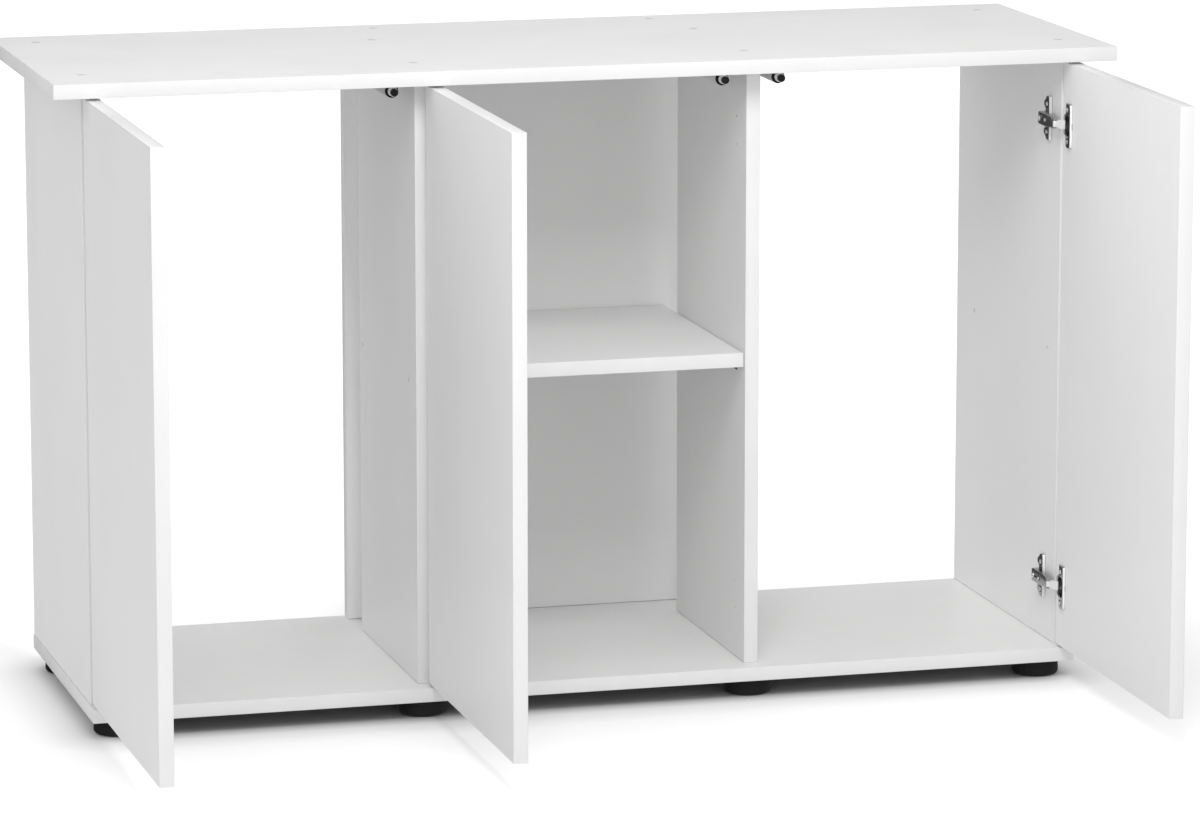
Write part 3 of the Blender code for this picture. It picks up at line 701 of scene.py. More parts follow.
@dataclass
class Carcass:
    """The fixed boards, their edging, and the caps over the screws that hold the top down."""

    workshop: Workshop
    strip: EdgeStrip = EdgeStrip()
    cap_radius: float = 5.0 * MM
    cap_rise: float = 0.18 * MM
    cap_setback: float = 37 * MM

    EDGED = {
        "top_plate": (Edge.FRONT, Edge.REAR, Edge.LEFT, Edge.RIGHT),
        "base_plate": (Edge.FRONT, Edge.REAR, Edge.LEFT, Edge.RIGHT),
        "left_side_panel": (Edge.FRONT, Edge.REAR),
        "right_side_panel": (Edge.FRONT, Edge.REAR),
        "left_divider": (Edge.FRONT, Edge.REAR),
        "right_divider": (Edge.FRONT, Edge.REAR),
        "middle_shelf": (Edge.FRONT, Edge.REAR),
        "back_panel": (Edge.LEFT, Edge.RIGHT),
    }

    def build(self) -> None:
        """Dresses every board and adds its edging, then the caps and the shelf's pins."""
        for board, edges in self.EDGED.items():
            self.workshop.keep(board, BOARD)
            shape = self.strip.round_board(*node_box(board), edges)
            self.workshop.piece(f"{board}_edging", shape, EDGING, "cabinet")
        self._caps()
        for side in ("left", "right"):
            for row in ("front", "rear"):
                self.workshop.keep(f"shelf_pin_{side}_{row}", BLACK)

    def _caps(self) -> None:
        """Round caps, each a low dome inside a fine groove, over the uprights that the top is screwed to."""
        top = node_box("top_plate")[1][2]
        r, h = self.cap_radius, self.cap_rise
        cap = revolve(
            [(0.1 * r, -h), (r, -h), (r, 0.55 * h), (0.97 * r, 0.8 * h), (0.9 * r, 0.85 * h), (0.86 * r, 0.35 * h),
             (0.8 * r, 0.9 * h), (0.4 * r, h), (0.1 * r, h)],
            40,
        )  # fmt: skip
        spots = []
        for upright in ("left_side_panel", "left_divider", "right_divider", "right_side_panel"):
            low, high = node_box(upright)
            spots += [((low[0] + high[0]) / 2, y) for y in (low[1] + self.cap_setback, high[1] - self.cap_setback)]
        low, high = node_box("back_panel")
        spots += [(x, (low[1] + high[1]) / 2) for x in (low[0] + self.cap_setback, high[0] - self.cap_setback)]
        self.workshop.piece("top_screw_caps", merged(cap.at(x, y, top) for x, y in spots), CAP, "cabinet")


# ---------------------------------------------------------------- doors and hinges


def joint_named(name: str) -> dict:
    """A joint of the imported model."""
    return next(joint for joint in frame["joints"] if joint["name"] == name)


@dataclass(frozen=True)
class Swing:
    """A door's own frame: a runs along the closed door from its axis, b from the door into the cabinet, z up."""

    door: str
    axis: Array
    hand: int
    opening: float

    @classmethod
    def of(cls, door: str) -> Swing:
        """The frame of a door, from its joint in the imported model."""
        joint = joint_named(f"{door}_hinge")
        hand = int(round(joint["axis"][2]))
        return cls(door, np.array((*joint["pos_m"][:2], 0.0)), hand, math.radians(joint["range_deg"][1]))

    @property
    def side(self) -> str:
        """The door's name without its last word."""
        return self.door.removesuffix("_door")

    def shut(self, shape: Shape) -> Shape:
        """Puts a shape that is drawn in the door's frame on the cabinet."""
        return shape.placed(np.diag((self.hand, 1.0, 1.0)), self.axis)

    def open(self, shape: Shape) -> Shape:
        """Puts a shape that is drawn in the door's frame on the door, which stands open at rest."""
        return shape.placed(self.frame_open(), self.axis)

    def frame_open(self) -> Array:
        """Where the door's own directions point when it stands open, as columns."""
        return np.diag((self.hand, 1.0, 1.0)) @ self._turn()

    def _turn(self) -> Array:
        """The turn from shut to open, which takes a towards -b."""
        c, s = math.cos(self.opening), math.sin(self.opening)
        return np.array(((c, s, 0), (-s, c, 0), (0, 0, 1.0)))

    def leaf(self) -> tuple[Array, Array]:
        """The door's lowest and highest corner in its own frame."""
        mesh = frame["nodes"][self.door].data
        points = np.empty(len(mesh.vertices) * 3)
        mesh.vertices.foreach_get("co", points)
        local = (points.reshape(-1, 3) - self.axis) @ self.frame_open()
        return local.min(0), local.max(0)

    def shut_box(self, node: str) -> tuple[Array, Array]:
        """A fixed node's lowest and highest corner in the door's frame."""
        corners = (np.array(node_box(node)) - self.axis) * (self.hand, 1.0, 1.0)
        return corners.min(0), corners.max(0)


@dataclass(frozen=True)
class CupSizes:
    """The hinge's cup: a pot let into the door under a long flange that is screwed down."""

    behind_edge: float = 17.5 * MM
    mouth: float = 12.2 * MM
    pot: float = 13.0 * MM
    depth: float = 12.0 * MM
    floor: float = 0.8 * MM
    rim: float = 13.9 * MM
    gap: float = 0.3 * MM
    thin: float = 1.25 * MM
    thick: float = 2.7 * MM
    length: float = 50 * MM
    front: float = 13.4 * MM
    back: float = 5.0 * MM
    slot: float = 11.7 * MM
    screw_at: float = 18.2 * MM
    screw_line: float = 4 * MM
    button_at: float = -12.9 * MM
    screw_radius: float = 2.9 * MM


@dataclass
class Cup:
    """One hinge cup."""

    workshop: Workshop
    sizes: CupSizes = CupSizes()

    def build(self, swing: Swing, name: str, height: float) -> None:
        """Makes the pot, the flange and the screws of one cup.

        Args:
            swing: The door's frame.
            name: The hinge's name, which its pieces' names start with.
            height: Height of the cup's axis.
        """
        s = self.sizes
        low, high = swing.leaf()
        centre = np.array((low[0] + s.behind_edge, high[1] + s.gap, height))
        node = f"{name}_hinge_cup"

        def on_door(shape: Shape) -> Shape:
            """Carries a shape from the cup's own frame to the open door."""
            return swing.open(shape.placed(STAND_ON_Y, centre))

        self.workshop.piece(f"{name}_cup_pot", on_door(self._pot()), NICKEL, swing.door, (node,))
        # The flange's faces turned along the lip get the painted highlight.
        lip = swing.frame_open() @ (1.0, 0.0, 0.0)
        self.workshop.piece(f"{name}_cup_flange", on_door(self._flange()), NICKEL, swing.door, (node,), lip)
        head = screw_head(s.screw_radius, 1.1 * MM, 0.9 * MM)
        seat_shade = tube(s.screw_radius, s.screw_radius + 0.75 * MM, 0, 0.3 * MM, 0.1 * MM, 32)
        button = revolve(
            [(0.2 * MM, 0), (1.5 * MM, 0), (1.5 * MM, 0.5 * MM), (1.2 * MM, 0.8 * MM), (0.2 * MM, 0.9 * MM)], 24
        )
        x, top = s.screw_line, float(self._top(np.array(s.screw_line)))
        heads = [head.at(x, y, top - 0.25 * MM) for y in (s.screw_at, -s.screw_at)]
        screws = merged([*heads, button.at(x, s.button_at, top - 0.2 * MM)])
        self.workshop.piece(f"{name}_cup_screws", on_door(screws), ZINC, swing.door)
        # Near-black rings round the screw heads: painted shade where each head meets the flange.
        seat_shades = merged(seat_shade.at(x, y, top - 0.12 * MM) for y in (s.screw_at, -s.screw_at))
        self.workshop.piece(f"{name}_cup_screw_seat_shades", on_door(seat_shades), PAINTED_SHADE, swing.door)

    def _pot(self) -> Shape:
        """The pot: a profile turned about the cup's axis, down its outside, across and up its inside."""
        s = self.sizes
        bottom, inner = -s.depth, s.floor - s.depth
        profile = [
            (0.3 * MM, bottom), (s.pot - 1.5 * MM, bottom), (s.pot, bottom + 1.5 * MM), (s.pot, -0.05 * MM),
            (s.rim, 0.0), (s.rim, 0.25 * MM), (s.rim - 0.2 * MM, 0.45 * MM), (s.mouth + 0.3 * MM, 0.5 * MM),
            (s.mouth, 0.2 * MM), (s.mouth, inner + 2 * MM), (s.mouth - 0.6 * MM, inner + 0.6 * MM),
            (s.mouth - 2 * MM, inner), (0.3 * MM, inner),
        ]  # fmt: skip
        return revolve(profile, 72)

    def _top(self, x: Array) -> Array:
        """The flange's upper face: low beside the cabinet's panel, and rising across the flange by a smooth step."""
        s = self.sizes
        return s.thin + (s.thick - s.thin) * smooth_step((x + 1.2 * MM) / (3.4 * MM))

    def _flange(self) -> Shape:
        """The flange: a flat ring from the mouth out to an outline that is straight along its front.

        Both are curves of even power, r = ((|cos t| / w)^p + (|sin t| / h)^p)^(-1/p), a rectangle with soft corners of
        half width w and half height h. Behind, the outline is never nearer than the cup's rim.
        """
        s = self.sizes
        t = np.arange(240) * 2 * math.pi / 240
        c, si = np.abs(np.cos(t)), np.abs(np.sin(t))
        width = np.where(np.cos(t) > 0, s.front, s.back)
        outer = ((c / width) ** 9 + (si / (s.length / 2)) ** 9) ** (-1 / 9)
        outer = np.where(np.cos(t) > 0, outer, np.maximum(outer, s.rim))
        mouth = ((c / s.slot) ** 4 + (si / s.slot) ** 4) ** -0.25
        ease = 0.35 * MM
        path = (
            (mouth, 0.0, 0.0), (mouth, 0.6, 0.0), (mouth + ease, 1.0, 0.0), (outer - 2 * ease, 1.0, 0.0),
            (outer - ease / 2, 1.0, 0.25 * ease), (outer, 0.75, 0.0), (outer, 0.0, 0.0),
        )  # fmt: skip
        rings = []
        for r, level, drop in path:
            x, y = r * np.cos(t), r * np.sin(t)
            rings.append(np.stack((x, y, level * self._top(x) - drop), -1))
        return stack(np.array(rings), closed_tube=True)


@dataclass(frozen=True)
class ArmSizes:
    """The hinge's mounting plate, arm and link."""

    standoff: float = 12 * MM
    height: float = 14.8 * MM
    depth: float = 7 * MM
    fork_height: float = 10 * MM
    fork_depth: float = 3 * MM
    fork_past: float = 1.44 * MM
    fork_reach: float = 1.95 * MM
    wall: float = 1.2 * MM
    tail: float = 7 * MM
    channel: float = 29 * MM
    crank: float = 12 * MM
    taper: float = 7 * MM
    eye: float = 1.9 * MM
    eye_room: float = 1.0 * MM
    gap: float = 0.3 * MM
    pin: float = 0.8 * MM
    link_reach: float = 14.5 * MM
    link_height: float = 10 * MM
    link_thick: float = 1.8 * MM
    plate_length: float = 50 * MM
    plate_width: float = 14 * MM
    wing_thick: float = 3.5 * MM
    waist: float = 4.6 * MM
    lobe_reach: float = 6.2 * MM
    lobe_width: float = 4.6 * MM
    hub_reach: float = 3.0 * MM
    hub_width: float = 8.4 * MM
    end_round: float = 3.4 * MM
    plate_screw: float = 16 * MM
    plate_screw_radius: float = 3.1 * MM
    tail_screw_radius: float = 3.3 * MM
    front_screw_radius: float = 2.3 * MM
    link_lead: float = math.radians(135)  # from the line of axis and pivot to the link, with the door shut


@dataclass
class Arm:
    """The fixed half of a hinge, and the link that joins it to the cup."""

    workshop: Workshop
    sizes: ArmSizes = ArmSizes()

    def build(self, swing: Swing, name: str) -> None:
        """Makes the plate, arm, pin and link of the hinge with this name."""
        pivot = (np.array(joint_named(f"{name}_link_pivot")["pos_m"]) - swing.axis) * (swing.hand, 1.0, 1.0)
        plate_low, plate_high = swing.shut_box(f"{name}_hinge_plate")
        panel = plate_low[0] - self.sizes.gap
        middle = (plate_low[1] + plate_high[1]) / 2
        self._plate(swing, name, panel, middle, pivot[2])
        self._arm(swing, name, panel, middle, pivot)
        self._link(swing, name, pivot)

    def _plate(self, swing: Swing, name: str, panel: float, middle: float, z: float) -> None:
        """The plate: straight in front, lobed behind round each screw, with the block that the arm clips over.

        At height y its rear edge stands w + l exp(-((|y| - s) / a)^4) + h exp(-(y / b)^6) behind the middle, from the
        waist w, the lobes l round the screws at s, and the hub h. Its ends are drawn in on quarter circles.
        """
        s = self.sizes
        half = s.plate_length / 2
        rows = np.linspace(-half, half, 49)
        lobe = np.exp(-(((np.abs(rows) - s.plate_screw) / s.lobe_width) ** 4))
        hub = np.exp(-((rows / s.hub_width) ** 6))
        ends = np.sqrt(np.clip(1 - ((np.abs(rows) - half + s.end_round) / s.end_round).clip(0) ** 2, 0.0, 1))
        back = (s.waist + s.lobe_reach * lobe + s.hub_reach * hub) * np.maximum(ends, 0.25)
        front = -s.plate_width / 2 + 1.6 * MM * (1 - np.maximum(ends, 0.3))
        outline = np.vstack((np.stack((front * np.ones_like(rows), rows), -1)[::-1], np.stack((back, rows), -1)))
        top = panel + s.gap + s.wing_thick
        wings = prism(outline, panel + s.gap, top, 0.5 * MM).placed(STAND_ON_X, np.zeros(3)).at(0, middle, z)
        tall = s.height / 2 - s.wall - s.gap
        rise = panel + s.standoff - s.wall - s.gap
        half_width = s.plate_width / 2
        base = block((top - MM, middle - half_width, z - tall), (rise, middle + half_width - MM, z + tall), 0.6 * MM)
        whole, node = swing.shut(wings + base), f"{name}_hinge_plate"
        # The plate's faces turned to the front (-y) get the painted highlight.
        self.workshop.piece(f"{name}_wing_plate", whole, NICKEL, "cabinet", (node,), np.array((0.0, -1.0, 0.0)))
        head = screw_head(s.plate_screw_radius, 1.5 * MM, 1.2 * MM)
        # Near-black rings round the screw heads: painted shade where each head meets the plate.
        seat_shade = tube(s.plate_screw_radius, 4.2 * MM, 0, 0.45 * MM, 0.15 * MM, 36)
        spots = [np.array((top, middle + 0.4 * MM, z + side * s.plate_screw)) for side in (-1, 1)]
        screws = merged(head.placed(STAND_ON_X, spot - (0.5 * MM, 0, 0)) for spot in spots)
        seat_shades = merged(seat_shade.placed(STAND_ON_X, spot - (0.15 * MM, 0, 0)) for spot in spots)
        self.workshop.piece(f"{name}_plate_screws", swing.shut(screws), ZINC, "cabinet")
        self.workshop.piece(f"{name}_plate_screw_seat_shades", swing.shut(seat_shades), PAINTED_SHADE, "cabinet")

    def _arm(self, swing: Swing, name: str, panel: float, middle: float, pivot: Array) -> None:
        """The arm: a channel section carried forwards, cranked and narrowed by smooth steps, that ends in two ears."""
        s = self.sizes
        tail = middle + s.tail
        crank_start = tail - s.channel
        crank_end = crank_start - s.crank
        taper_end = crank_end - s.taper
        root = pivot[1] + s.eye + s.eye_room
        rear_face, fork_face = panel + s.standoff, pivot[0] + s.fork_past
        neck_height = (s.height + s.fork_height) / 2
        neck_depth = s.depth / 4 + s.fork_depth * 3 / 4
        stops = np.array((tail, crank_start, crank_end, taper_end, root))
        faces = np.array((rear_face, rear_face, fork_face - s.eye_room, fork_face, fork_face))
        heights = np.array((s.height, s.height, neck_height, s.fork_height, s.fork_height))
        depths = np.array((s.depth, s.depth, neck_depth, s.fork_depth, s.fork_depth))
        rings = []
        for i in range(len(stops) - 1):
            t = np.linspace(0, 1, 7)[: None if i == len(stops) - 2 else -1]
            e = smooth_step(t)
            for b, face, tall, deep in zip(
                stops[i] + (stops[i + 1] - stops[i]) * t,
                faces[i] + (faces[i + 1] - faces[i]) * e,
                heights[i] + (heights[i + 1] - heights[i]) * e,
                depths[i] + (depths[i + 1] - depths[i]) * e,
            ):
                section = channel_outline(tall, deep, face, s.wall, 0.9 * MM)
                rings.append(np.stack((section[:, 0], np.full(len(section), b), section[:, 1] + pivot[2]), -1))
        channel = stack(np.array(rings))
        ear_outline = np.vstack((
            np.array(((fork_face - s.fork_depth, root + 0.4 * MM), (fork_face, root + 0.4 * MM))),
            self._nose(pivot, fork_face, fork_face - s.fork_depth),
        ))  # fmt: skip
        half = s.fork_height / 2
        levels = ((half - s.wall, half), (-half, s.wall - half))
        ears = merged(prism(ear_outline[::-1], low, high, 0.2 * MM, 2) for low, high in levels)
        arm = channel + ears.at(0, 0, pivot[2])
        bead = prism(slot_outline(s.channel * 0.5, 2.2 * MM), 0, 0.35 * MM, 0.3 * MM)
        for side in (-1, 1):
            height = pivot[2] + side * (s.height / 2 - 0.12 * MM)
            spot = np.array((rear_face - 3.6 * MM, crank_start + 12 * MM, height))
            arm = arm + bead.placed(np.diag((1.0, 1.0, side)), spot)
        self.workshop.piece(f"{name}_arm_channel", swing.shut(arm), NICKEL, "cabinet", (f"{name}_hinge_arm",))

        # Near-black sheets on the arm's face where its slots are: painted shadow in place of the holes.
        slot = prism(slot_outline(9.5 * MM, 5.2 * MM), 0, 0.12 * MM, 0.05 * MM, 1)
        long_slot_shadow = prism(slot_outline(7.5 * MM, 2.6 * MM), 0, 0.12 * MM, 0.05 * MM, 1)
        lie = np.array(((0, 0, 1.0), (0, 1.0, 0), (1.0, 0, 0)))  # thickness along a, the slot's length along b
        spots = ((slot, tail - 5.6 * MM), (slot, crank_start + 6 * MM), (long_slot_shadow, tail - 14.5 * MM))
        slot_shadows = merged(shape.placed(lie, np.array((rear_face - 0.05 * MM, b, pivot[2]))) for shape, b in spots)
        self.workshop.piece(f"{name}_arm_slot_shadows", swing.shut(slot_shadows), PAINTED_SHADE, "cabinet")
        head = screw_head(s.tail_screw_radius, 1.9 * MM, 1.4 * MM)
        small = screw_head(s.front_screw_radius, 1.2 * MM, 0.9 * MM)
        screws = head.placed(STAND_ON_X, np.array((rear_face, tail - 5.0 * MM, pivot[2])))
        screws = screws + small.placed(STAND_ON_X, np.array((rear_face, crank_start + 6 * MM, pivot[2])))
        self.workshop.piece(f"{name}_arm_screws", swing.shut(screws), ZINC, "cabinet")

        end = half + 0.55 * MM
        rivet = revolve(
            [(0.2 * MM, -end), (1.1 * MM, -end + 0.05 * MM), (1.5 * MM, -half - 0.05 * MM), (s.pin, -half + 0.1 * MM),
             (s.pin, half - 0.1 * MM), (1.5 * MM, half + 0.05 * MM), (1.1 * MM, end - 0.05 * MM), (0.2 * MM, end)],
            28,
        )  # fmt: skip
        rivet = swing.shut(rivet.at(*pivot))
        self.workshop.piece(f"{name}_pivot_rivet", rivet, ZINC, "cabinet", (f"{name}_hinge_pin",))

    def _nose(self, pivot: Array, outer: float, inner: float) -> Array:
        """The ear's round end: half an ellipse about the pivot, from the arm's outer side to its inner side."""
        t = np.linspace(0, math.pi, 14)
        middle, half = (outer + inner) / 2, (outer - inner) / 2
        return np.stack((middle + half * np.cos(t), pivot[1] - self.sizes.fork_reach * np.sin(t)), -1)

    def _link(self, swing: Swing, name: str, pivot: Array) -> None:
        """The link: an eye round the pin, a plate from it to the cup, and a curl at the plate's free end."""
        s = self.sizes
        eye_half = s.fork_height / 2 - s.wall - 1.5 * s.gap
        eye = tube(s.pin + s.gap, s.eye, -eye_half, eye_half, 0.15 * MM, 32)
        half = s.link_height / 2
        neck = block((s.eye - 0.4 * MM, -s.link_thick / 2, -eye_half), (5.4 * MM, s.link_thick / 2, eye_half), 0.3 * MM)
        plate = block((4.6 * MM, -s.link_thick / 2, -half), (s.link_reach, s.link_thick / 2, half), 0.4 * MM)
        curl = revolve(
            [(0.2 * MM, -half), (0.9 * MM, -half), (1.15 * MM, 0.25 * MM - half), (1.15 * MM, half - 0.25 * MM),
             (0.9 * MM, half), (0.2 * MM, half)],
            28,
        ).at(s.link_reach - 1.0 * MM, 0, 0)  # fmt: skip
        shut = math.atan2(pivot[1], pivot[0]) + s.link_lead
        turn = shut + swing.opening
        c, si = math.cos(turn), math.sin(turn)
        axes = np.array(((c, -si, 0), (si, c, 0), (0, 0, 1.0)))
        whole = (eye + neck + plate + curl).placed(axes, pivot)
        self.workshop.piece(f"{name}_link_plate", swing.shut(whole), SATIN, f"{name}_link", (f"{name}_hinge_link",))


@dataclass
class Doors:
    """The three doors: finish, edging on all four edges, and two hinges each."""

    workshop: Workshop
    strip: EdgeStrip = EdgeStrip()

    def build(self) -> None:
        """Builds every door in turn."""
        cup, arm = Cup(self.workshop), Arm(self.workshop)
        for door in ("left_door", "middle_door", "right_door"):
            swing = Swing.of(door)
            self.workshop.keep(door, BOARD)
            low, high = swing.leaf()
            edges = (Edge.LEFT, Edge.RIGHT, Edge.BOTTOM, Edge.TOP)
            self.workshop.piece(f"{door}_edging", swing.open(self.strip.round_board(low, high, edges)), EDGING, door)
            for level in ("upper", "lower"):
                name = f"{swing.side}_{level}"
                cup.build(swing, name, joint_named(f"{name}_link_pivot")["pos_m"][2])
                arm.build(swing, name)


# ---------------------------------------------------------------- latches and feet


@dataclass
class Latches:
    """The push latches under the top: a grey housing on a saddle, a black collar, and the plunger."""

    workshop: Workshop
    radius: float = 7.4 * MM
    bore: float = 5.4 * MM
    bore_depth: float = 36 * MM
    collar: float = 3.2 * MM
    plunger: float = 5.0 * MM
    tip_share: float = 0.86  # the magnet's radius, of the plunger's
    magnet: float = 4.4 * MM
    sleeve: float = 8.0 * MM
    groove: float = 0.5 * MM
    saddle_half: float = 4.5 * MM
    saddle_start: float = 12.5 * MM
    saddle_end: float = 72.5 * MM

    def build(self) -> None:
        """Builds each door's latch."""
        for door in ("left", "middle", "right"):
            low, high = node_box(f"{door}_latch_housing")
            tip, tail = node_box(f"{door}_latch_plunger")
            axis = np.array(((low[0] + high[0]) / 2, low[1], (tip[2] + tail[2]) / 2))
            self._housing(door, axis, low, high)
            self._plunger(door, np.array((axis[0], tip[1], axis[2])), tail[1] - tip[1])

    def _housing(self, door: str, axis: Array, low: Array, high: Array) -> None:
        """The housing, a profile turned about the latch's axis, bored from its front, and its saddle and collar."""
        r, length = self.radius, high[1] - low[1]
        start = self.collar - 0.4 * MM
        profile = [
            (0.3 * MM, self.bore_depth), (self.bore, self.bore_depth), (self.bore, start), (r - 0.5 * MM, start),
            (r - 0.5 * MM, self.collar + 0.4 * MM), (r, self.collar + 0.8 * MM), (r, 0.45 * length),
            (r - 0.35 * MM, 0.45 * length + 0.4 * MM), (r - 0.35 * MM, 0.45 * length + 1.4 * MM),
            (r, 0.45 * length + 1.8 * MM), (r, length - 2.2 * MM), (r - 0.6 * MM, length - 0.8 * MM),
            (r - 2.0 * MM, length), (0.3 * MM, length),
        ]  # fmt: skip
        body = revolve(profile, 64).placed(STAND_ON_Y, axis)
        saddle = block(
            (axis[0] - self.saddle_half, axis[1] + self.saddle_start, axis[2] + self.bore + 0.6 * MM),
            (axis[0] + self.saddle_half, axis[1] + self.saddle_end, high[2]),
            0.4 * MM,
        )
        name = f"{door}_latch"
        self.workshop.piece(f"{name}_case", body + saddle, GREY, "cabinet", (f"{name}_housing",))
        ring = tube(self.bore, r, 0, self.collar, 0.5 * MM, 64).placed(STAND_ON_Y, axis)
        self.workshop.piece(f"{name}_collar", ring, BLACK, "cabinet")

    def _plunger(self, door: str, tip: Array, length: float) -> None:
        """The plunger: a magnet on a sleeve whose near-white finish is a painted reflection, and a stem. Its face has
        round grooves, cos⁴(3πr) deep at r.
        """
        p = self.plunger
        rings = np.linspace(0.06, 0.86, 34)
        groove = self.groove * (np.cos(math.pi * 3.0 * rings) ** 4)
        m = self.tip_share * p
        face = [(float(r) * m, float(g)) for r, g in zip(rings, groove)]
        back = self.magnet
        nose = [(0.92 * m, 0.0), (0.97 * m, 0.25 * MM), (m, 0.8 * MM), (m, back - 0.3 * MM), (0.95 * m, back)]
        magnet = revolve(face + nose + [(0.3 * MM, back)], 56).placed(STAND_ON_Y, tip)
        name = f"{door}_latch"
        body = f"{door}_plunger"
        self.workshop.piece(f"{name}_magnet", magnet, MAGNET, body, (f"{name}_plunger",))
        # The sleeve's near-white finish is a painted reflection of the bright room in front, in place of polished
        # metal.
        a, b = back - 0.2 * MM, back + self.sleeve
        sleeve = revolve(
            [(0.3 * MM, a), (0.96 * p, a), (p, a + 0.25 * MM), (p, b - 0.3 * MM), (0.94 * p, b), (0.3 * MM, b)], 56
        ).placed(STAND_ON_Y, tip)
        self.workshop.piece(f"{name}_sleeve", sleeve, PAINTED_HIGHLIGHT, body)
        a = b - 0.2 * MM
        stem = revolve(
            [(0.3 * MM, a), (0.86 * p, a), (0.86 * p, length - MM), (0.7 * p, length), (0.3 * MM, length)], 40
        ).placed(STAND_ON_Y, tip)
        self.workshop.piece(f"{name}_stem", stem, BLACK, body, (f"{name}_plunger",))


@dataclass
class Feet:
    """The eight round feet: turned from a profile with a rounded tread, a hollow under it and a parting line."""

    workshop: Workshop
    tread: float = 4.5 * MM
    hollow: float = 1.0 * MM
    lean: float = 0.5 * MM
    parting: float = 0.62  # the line's height, of the foot's

    def build(self) -> None:
        """Builds every foot in place of its node."""
        for row in ("front", "rear"):
            for number in range(1, 5):
                node = f"foot_{row}_{number}"
                low, high = node_box(node)
                middle = (low + high) / 2
                shape = self._foot((high[0] - low[0]) / 2, high[2] - low[2]).at(middle[0], middle[1], low[2])
                self.workshop.piece(f"{node}_moulding", shape, BLACK, "cabinet", (node,))

    def _foot(self, radius: float, height: float) -> Shape:
        """One foot: the tread is a quarter circle, and the wall leans in towards the top."""
        t = np.linspace(0, math.pi / 2, 9)
        tread = [
            (float(radius - self.tread + self.tread * math.sin(a)), float(self.tread * (1 - math.cos(a)))) for a in t
        ]
        lean, line = self.lean, self.parting * height
        profile = [(0.5 * MM, self.hollow), (0.55 * radius, self.hollow), (0.6 * radius, 0.0)]
        profile += tread
        profile += [
            (radius - 0.45 * lean, line - 0.25 * MM), (radius - 0.5 * lean - 0.3 * MM, line),
            (radius - 0.5 * lean, line + 0.25 * MM), (radius - lean, height - 0.8 * MM),
            (radius - lean - 0.8 * MM, height), (0.5 * MM, height),
        ]  # fmt: skip
        return revolve(profile, 96)


# ---------------------------------------------------------------- studio


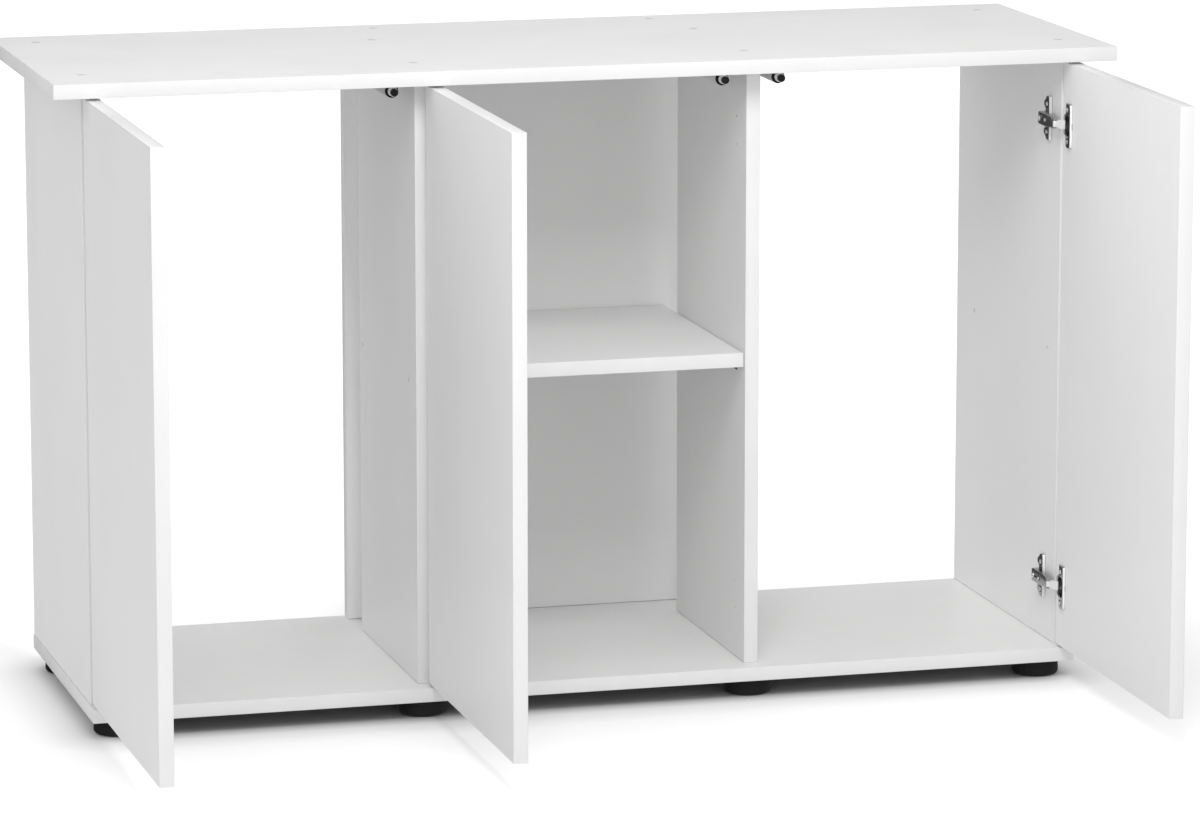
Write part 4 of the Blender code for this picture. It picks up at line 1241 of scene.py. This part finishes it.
@dataclass
class Studio:
    """A white floor, soft light from the front and above, and the camera."""

    camera_place: tuple[float, float, float] = (-1.69965, -6.23145, 1.59221)
    camera_yaw: float = 15.346  # degrees to the right of straight back
    camera_dip: float = 11.042  # degrees down
    lens: float = 177.06
    sky: float = 0.78
    key_power: float = 19.5
    key_place: tuple[float, float, float] = (-0.25, -1.5, 2.0)
    key_size: float = 0.8
    key_aim: tuple[float, float, float] = (0.0, 0.0, 0.45)
    floor_half: float = 30.0
    painted_shade_middle: tuple[float, float, float] = (0.0, 0.17, 0.0)
    painted_shade_half: tuple[float, float, float] = (0.53, 0.15, 0.0)

    def build(self) -> None:
        """Builds the studio."""
        self._look()
        self._floor()
        self._world()
        self._key()
        self._camera()

    def _look(self) -> None:
        """Plain tones: white stays white."""
        settings = bpy.context.scene.view_settings
        settings.view_transform = "Standard"
        settings.look = "None"
        settings.exposure = 0.0
        settings.gamma = 1.0

    def _floor(self) -> None:
        """A wide floor, lit from within away from the cabinet so that it stays as pale as the room beyond.

        The floor's colour is darker inside a rectangle under the cabinet, a painted shadow, and what changes goes by
        the distance outside the rectangle.
        """
        half, z = self.floor_half, -0.2 * MM
        mesh = bpy.data.meshes.new("studio_floor")
        mesh.from_pydata([(-half, -half, z), (half, -half, z), (half, half, z), (-half, half, z)], [], [(0, 1, 2, 3)])
        floor = in_scene("studio_floor", mesh)
        floor.visible_glossy = False
        material = bpy.data.materials.new("studio_floor")
        g = fresh_graph(material)
        place = g.add("TexCoord").outputs["Object"]
        moved = g.add("VectorMath", {"operation": "SUBTRACT"}, i0=place, i1=self.painted_shade_middle)
        size = g.add("VectorMath", {"operation": "ABSOLUTE"}, i0=moved.outputs[0])
        past = g.add("VectorMath", {"operation": "SUBTRACT"}, i0=size.outputs[0], i1=self.painted_shade_half)
        past = g.add("VectorMath", {"operation": "MAXIMUM"}, i0=past.outputs[0], i1=(0.0, 0.0, 0.0))
        away = g.add("VectorMath", {"operation": "LENGTH"}, i0=past.outputs[0]).outputs["Value"]
        glow = g.math("MULTIPLY", g.spread(away, (0.0, 0.5), (0.20, 0.50)), g.add("LightPath").outputs["Is Camera Ray"])
        glow = g.math("MULTIPLY", glow, g.spread(away, (0.02, 0.10), (0.0, 1.0)))
        fleck = g.add("TexNoise", None, Vector=place, Scale=3.0, Detail=3.0)
        colour = g.blend(g.spread(fleck.outputs[0], (0.3, 0.7), (0.0, 1.0)), (0.80, 0.80, 0.80), (0.82, 0.82, 0.82))
        # Painted shadow: inside the rectangle the floor's colour is 0.38, back to its own by 5 cm outside it.
        colour = g.blend(g.spread(away, (0.0, 0.05), (0.0, 1.0)), (0.38, 0.38, 0.38), colour)
        shader = g.add("BsdfPrincipled", None, Base_Color=colour, Roughness=0.9, Emission_Strength=1.0)
        shader.inputs["Specular IOR Level"].default_value = 0.0
        g.feed(shader.inputs["Emission Color"], g.blend(glow, (0.0, 0.0, 0.0), (1.0, 1.0, 1.0)))
        g.end("OutputMaterial", shader)
        floor.data.materials.append(material)
        log.info("studio_floor")

    def _world(self) -> None:
        """The room: soft light on the boards, white behind them, and for the metal's gloss darker at the back."""
        world = bpy.data.worlds.new("studio_room")
        bpy.context.scene.world = world
        g = fresh_graph(world)
        rays = g.add("LightPath")
        direction = g.add("TexCoord").outputs["Generated"]
        parts = g.add("SeparateXYZ", None, Vector=direction)
        shine = g.spread(parts.outputs["Y"], (-0.9, 0.7), (1.3, 0.10))
        strength = g.add("Mix", {"data_type": "FLOAT"})
        g.feed(strength.inputs[0], rays.outputs["Is Glossy Ray"])
        leftward = g.spread(parts.outputs["X"], (-0.9, 0.3), (1.38, 0.93))
        g.feed(strength.inputs[2], g.math("MULTIPLY", leftward, self.sky))
        g.feed(strength.inputs[3], shine)
        seen = g.add("Mix", {"data_type": "FLOAT"})
        g.feed(seen.inputs[0], rays.outputs["Is Camera Ray"])
        g.feed(seen.inputs[2], strength.outputs[0])
        g.feed(seen.inputs[3], 1.0)
        background = g.add("Background", None, Color=(1.0, 1.0, 1.0, 1.0), Strength=seen.outputs[0])
        g.end("OutputWorld", background)
        log.info("studio_room")

    def _key(self) -> None:
        """A large soft light in front and above, aimed at the cabinet's upper half."""
        light = bpy.data.lights.new("key_light", "AREA")
        light.energy = self.key_power
        light.shape = "SQUARE"
        light.size = self.key_size
        obj = in_scene("key_light", light)
        obj.location = self.key_place
        aim = np.array(self.key_aim) - self.key_place
        tilt, turn = math.atan2(np.hypot(aim[0], aim[1]), -aim[2]), math.atan2(aim[1], aim[0]) - math.pi / 2
        obj.rotation_euler = (tilt, 0.0, turn)
        obj.visible_camera = False
        log.info("key_light")

    def _camera(self) -> None:
        """The camera, with no shift and no blur."""
        data = bpy.data.cameras.new("camera")
        data.lens = self.lens
        data.sensor_width = 36.0
        data.sensor_fit = "HORIZONTAL"
        data.clip_end = 200.0
        camera = in_scene("camera", data)
        camera.location = self.camera_place
        camera.rotation_euler = (math.radians(90 - self.camera_dip), 0.0, math.radians(-self.camera_yaw))
        bpy.context.scene.camera = camera
        log.info("camera")


def main() -> None:
    """Builds the cabinet's looks and the studio, in order."""
    logging.basicConfig(level=logging.INFO, format="%(name)s: %(message)s")
    workshop = Workshop(FinishShop())
    Studio().build()
    Carcass(workshop).build()
    Doors(workshop).build()
    Latches(workshop).build()
    Feet(workshop).build()


if __name__ == "__main__":
    main()
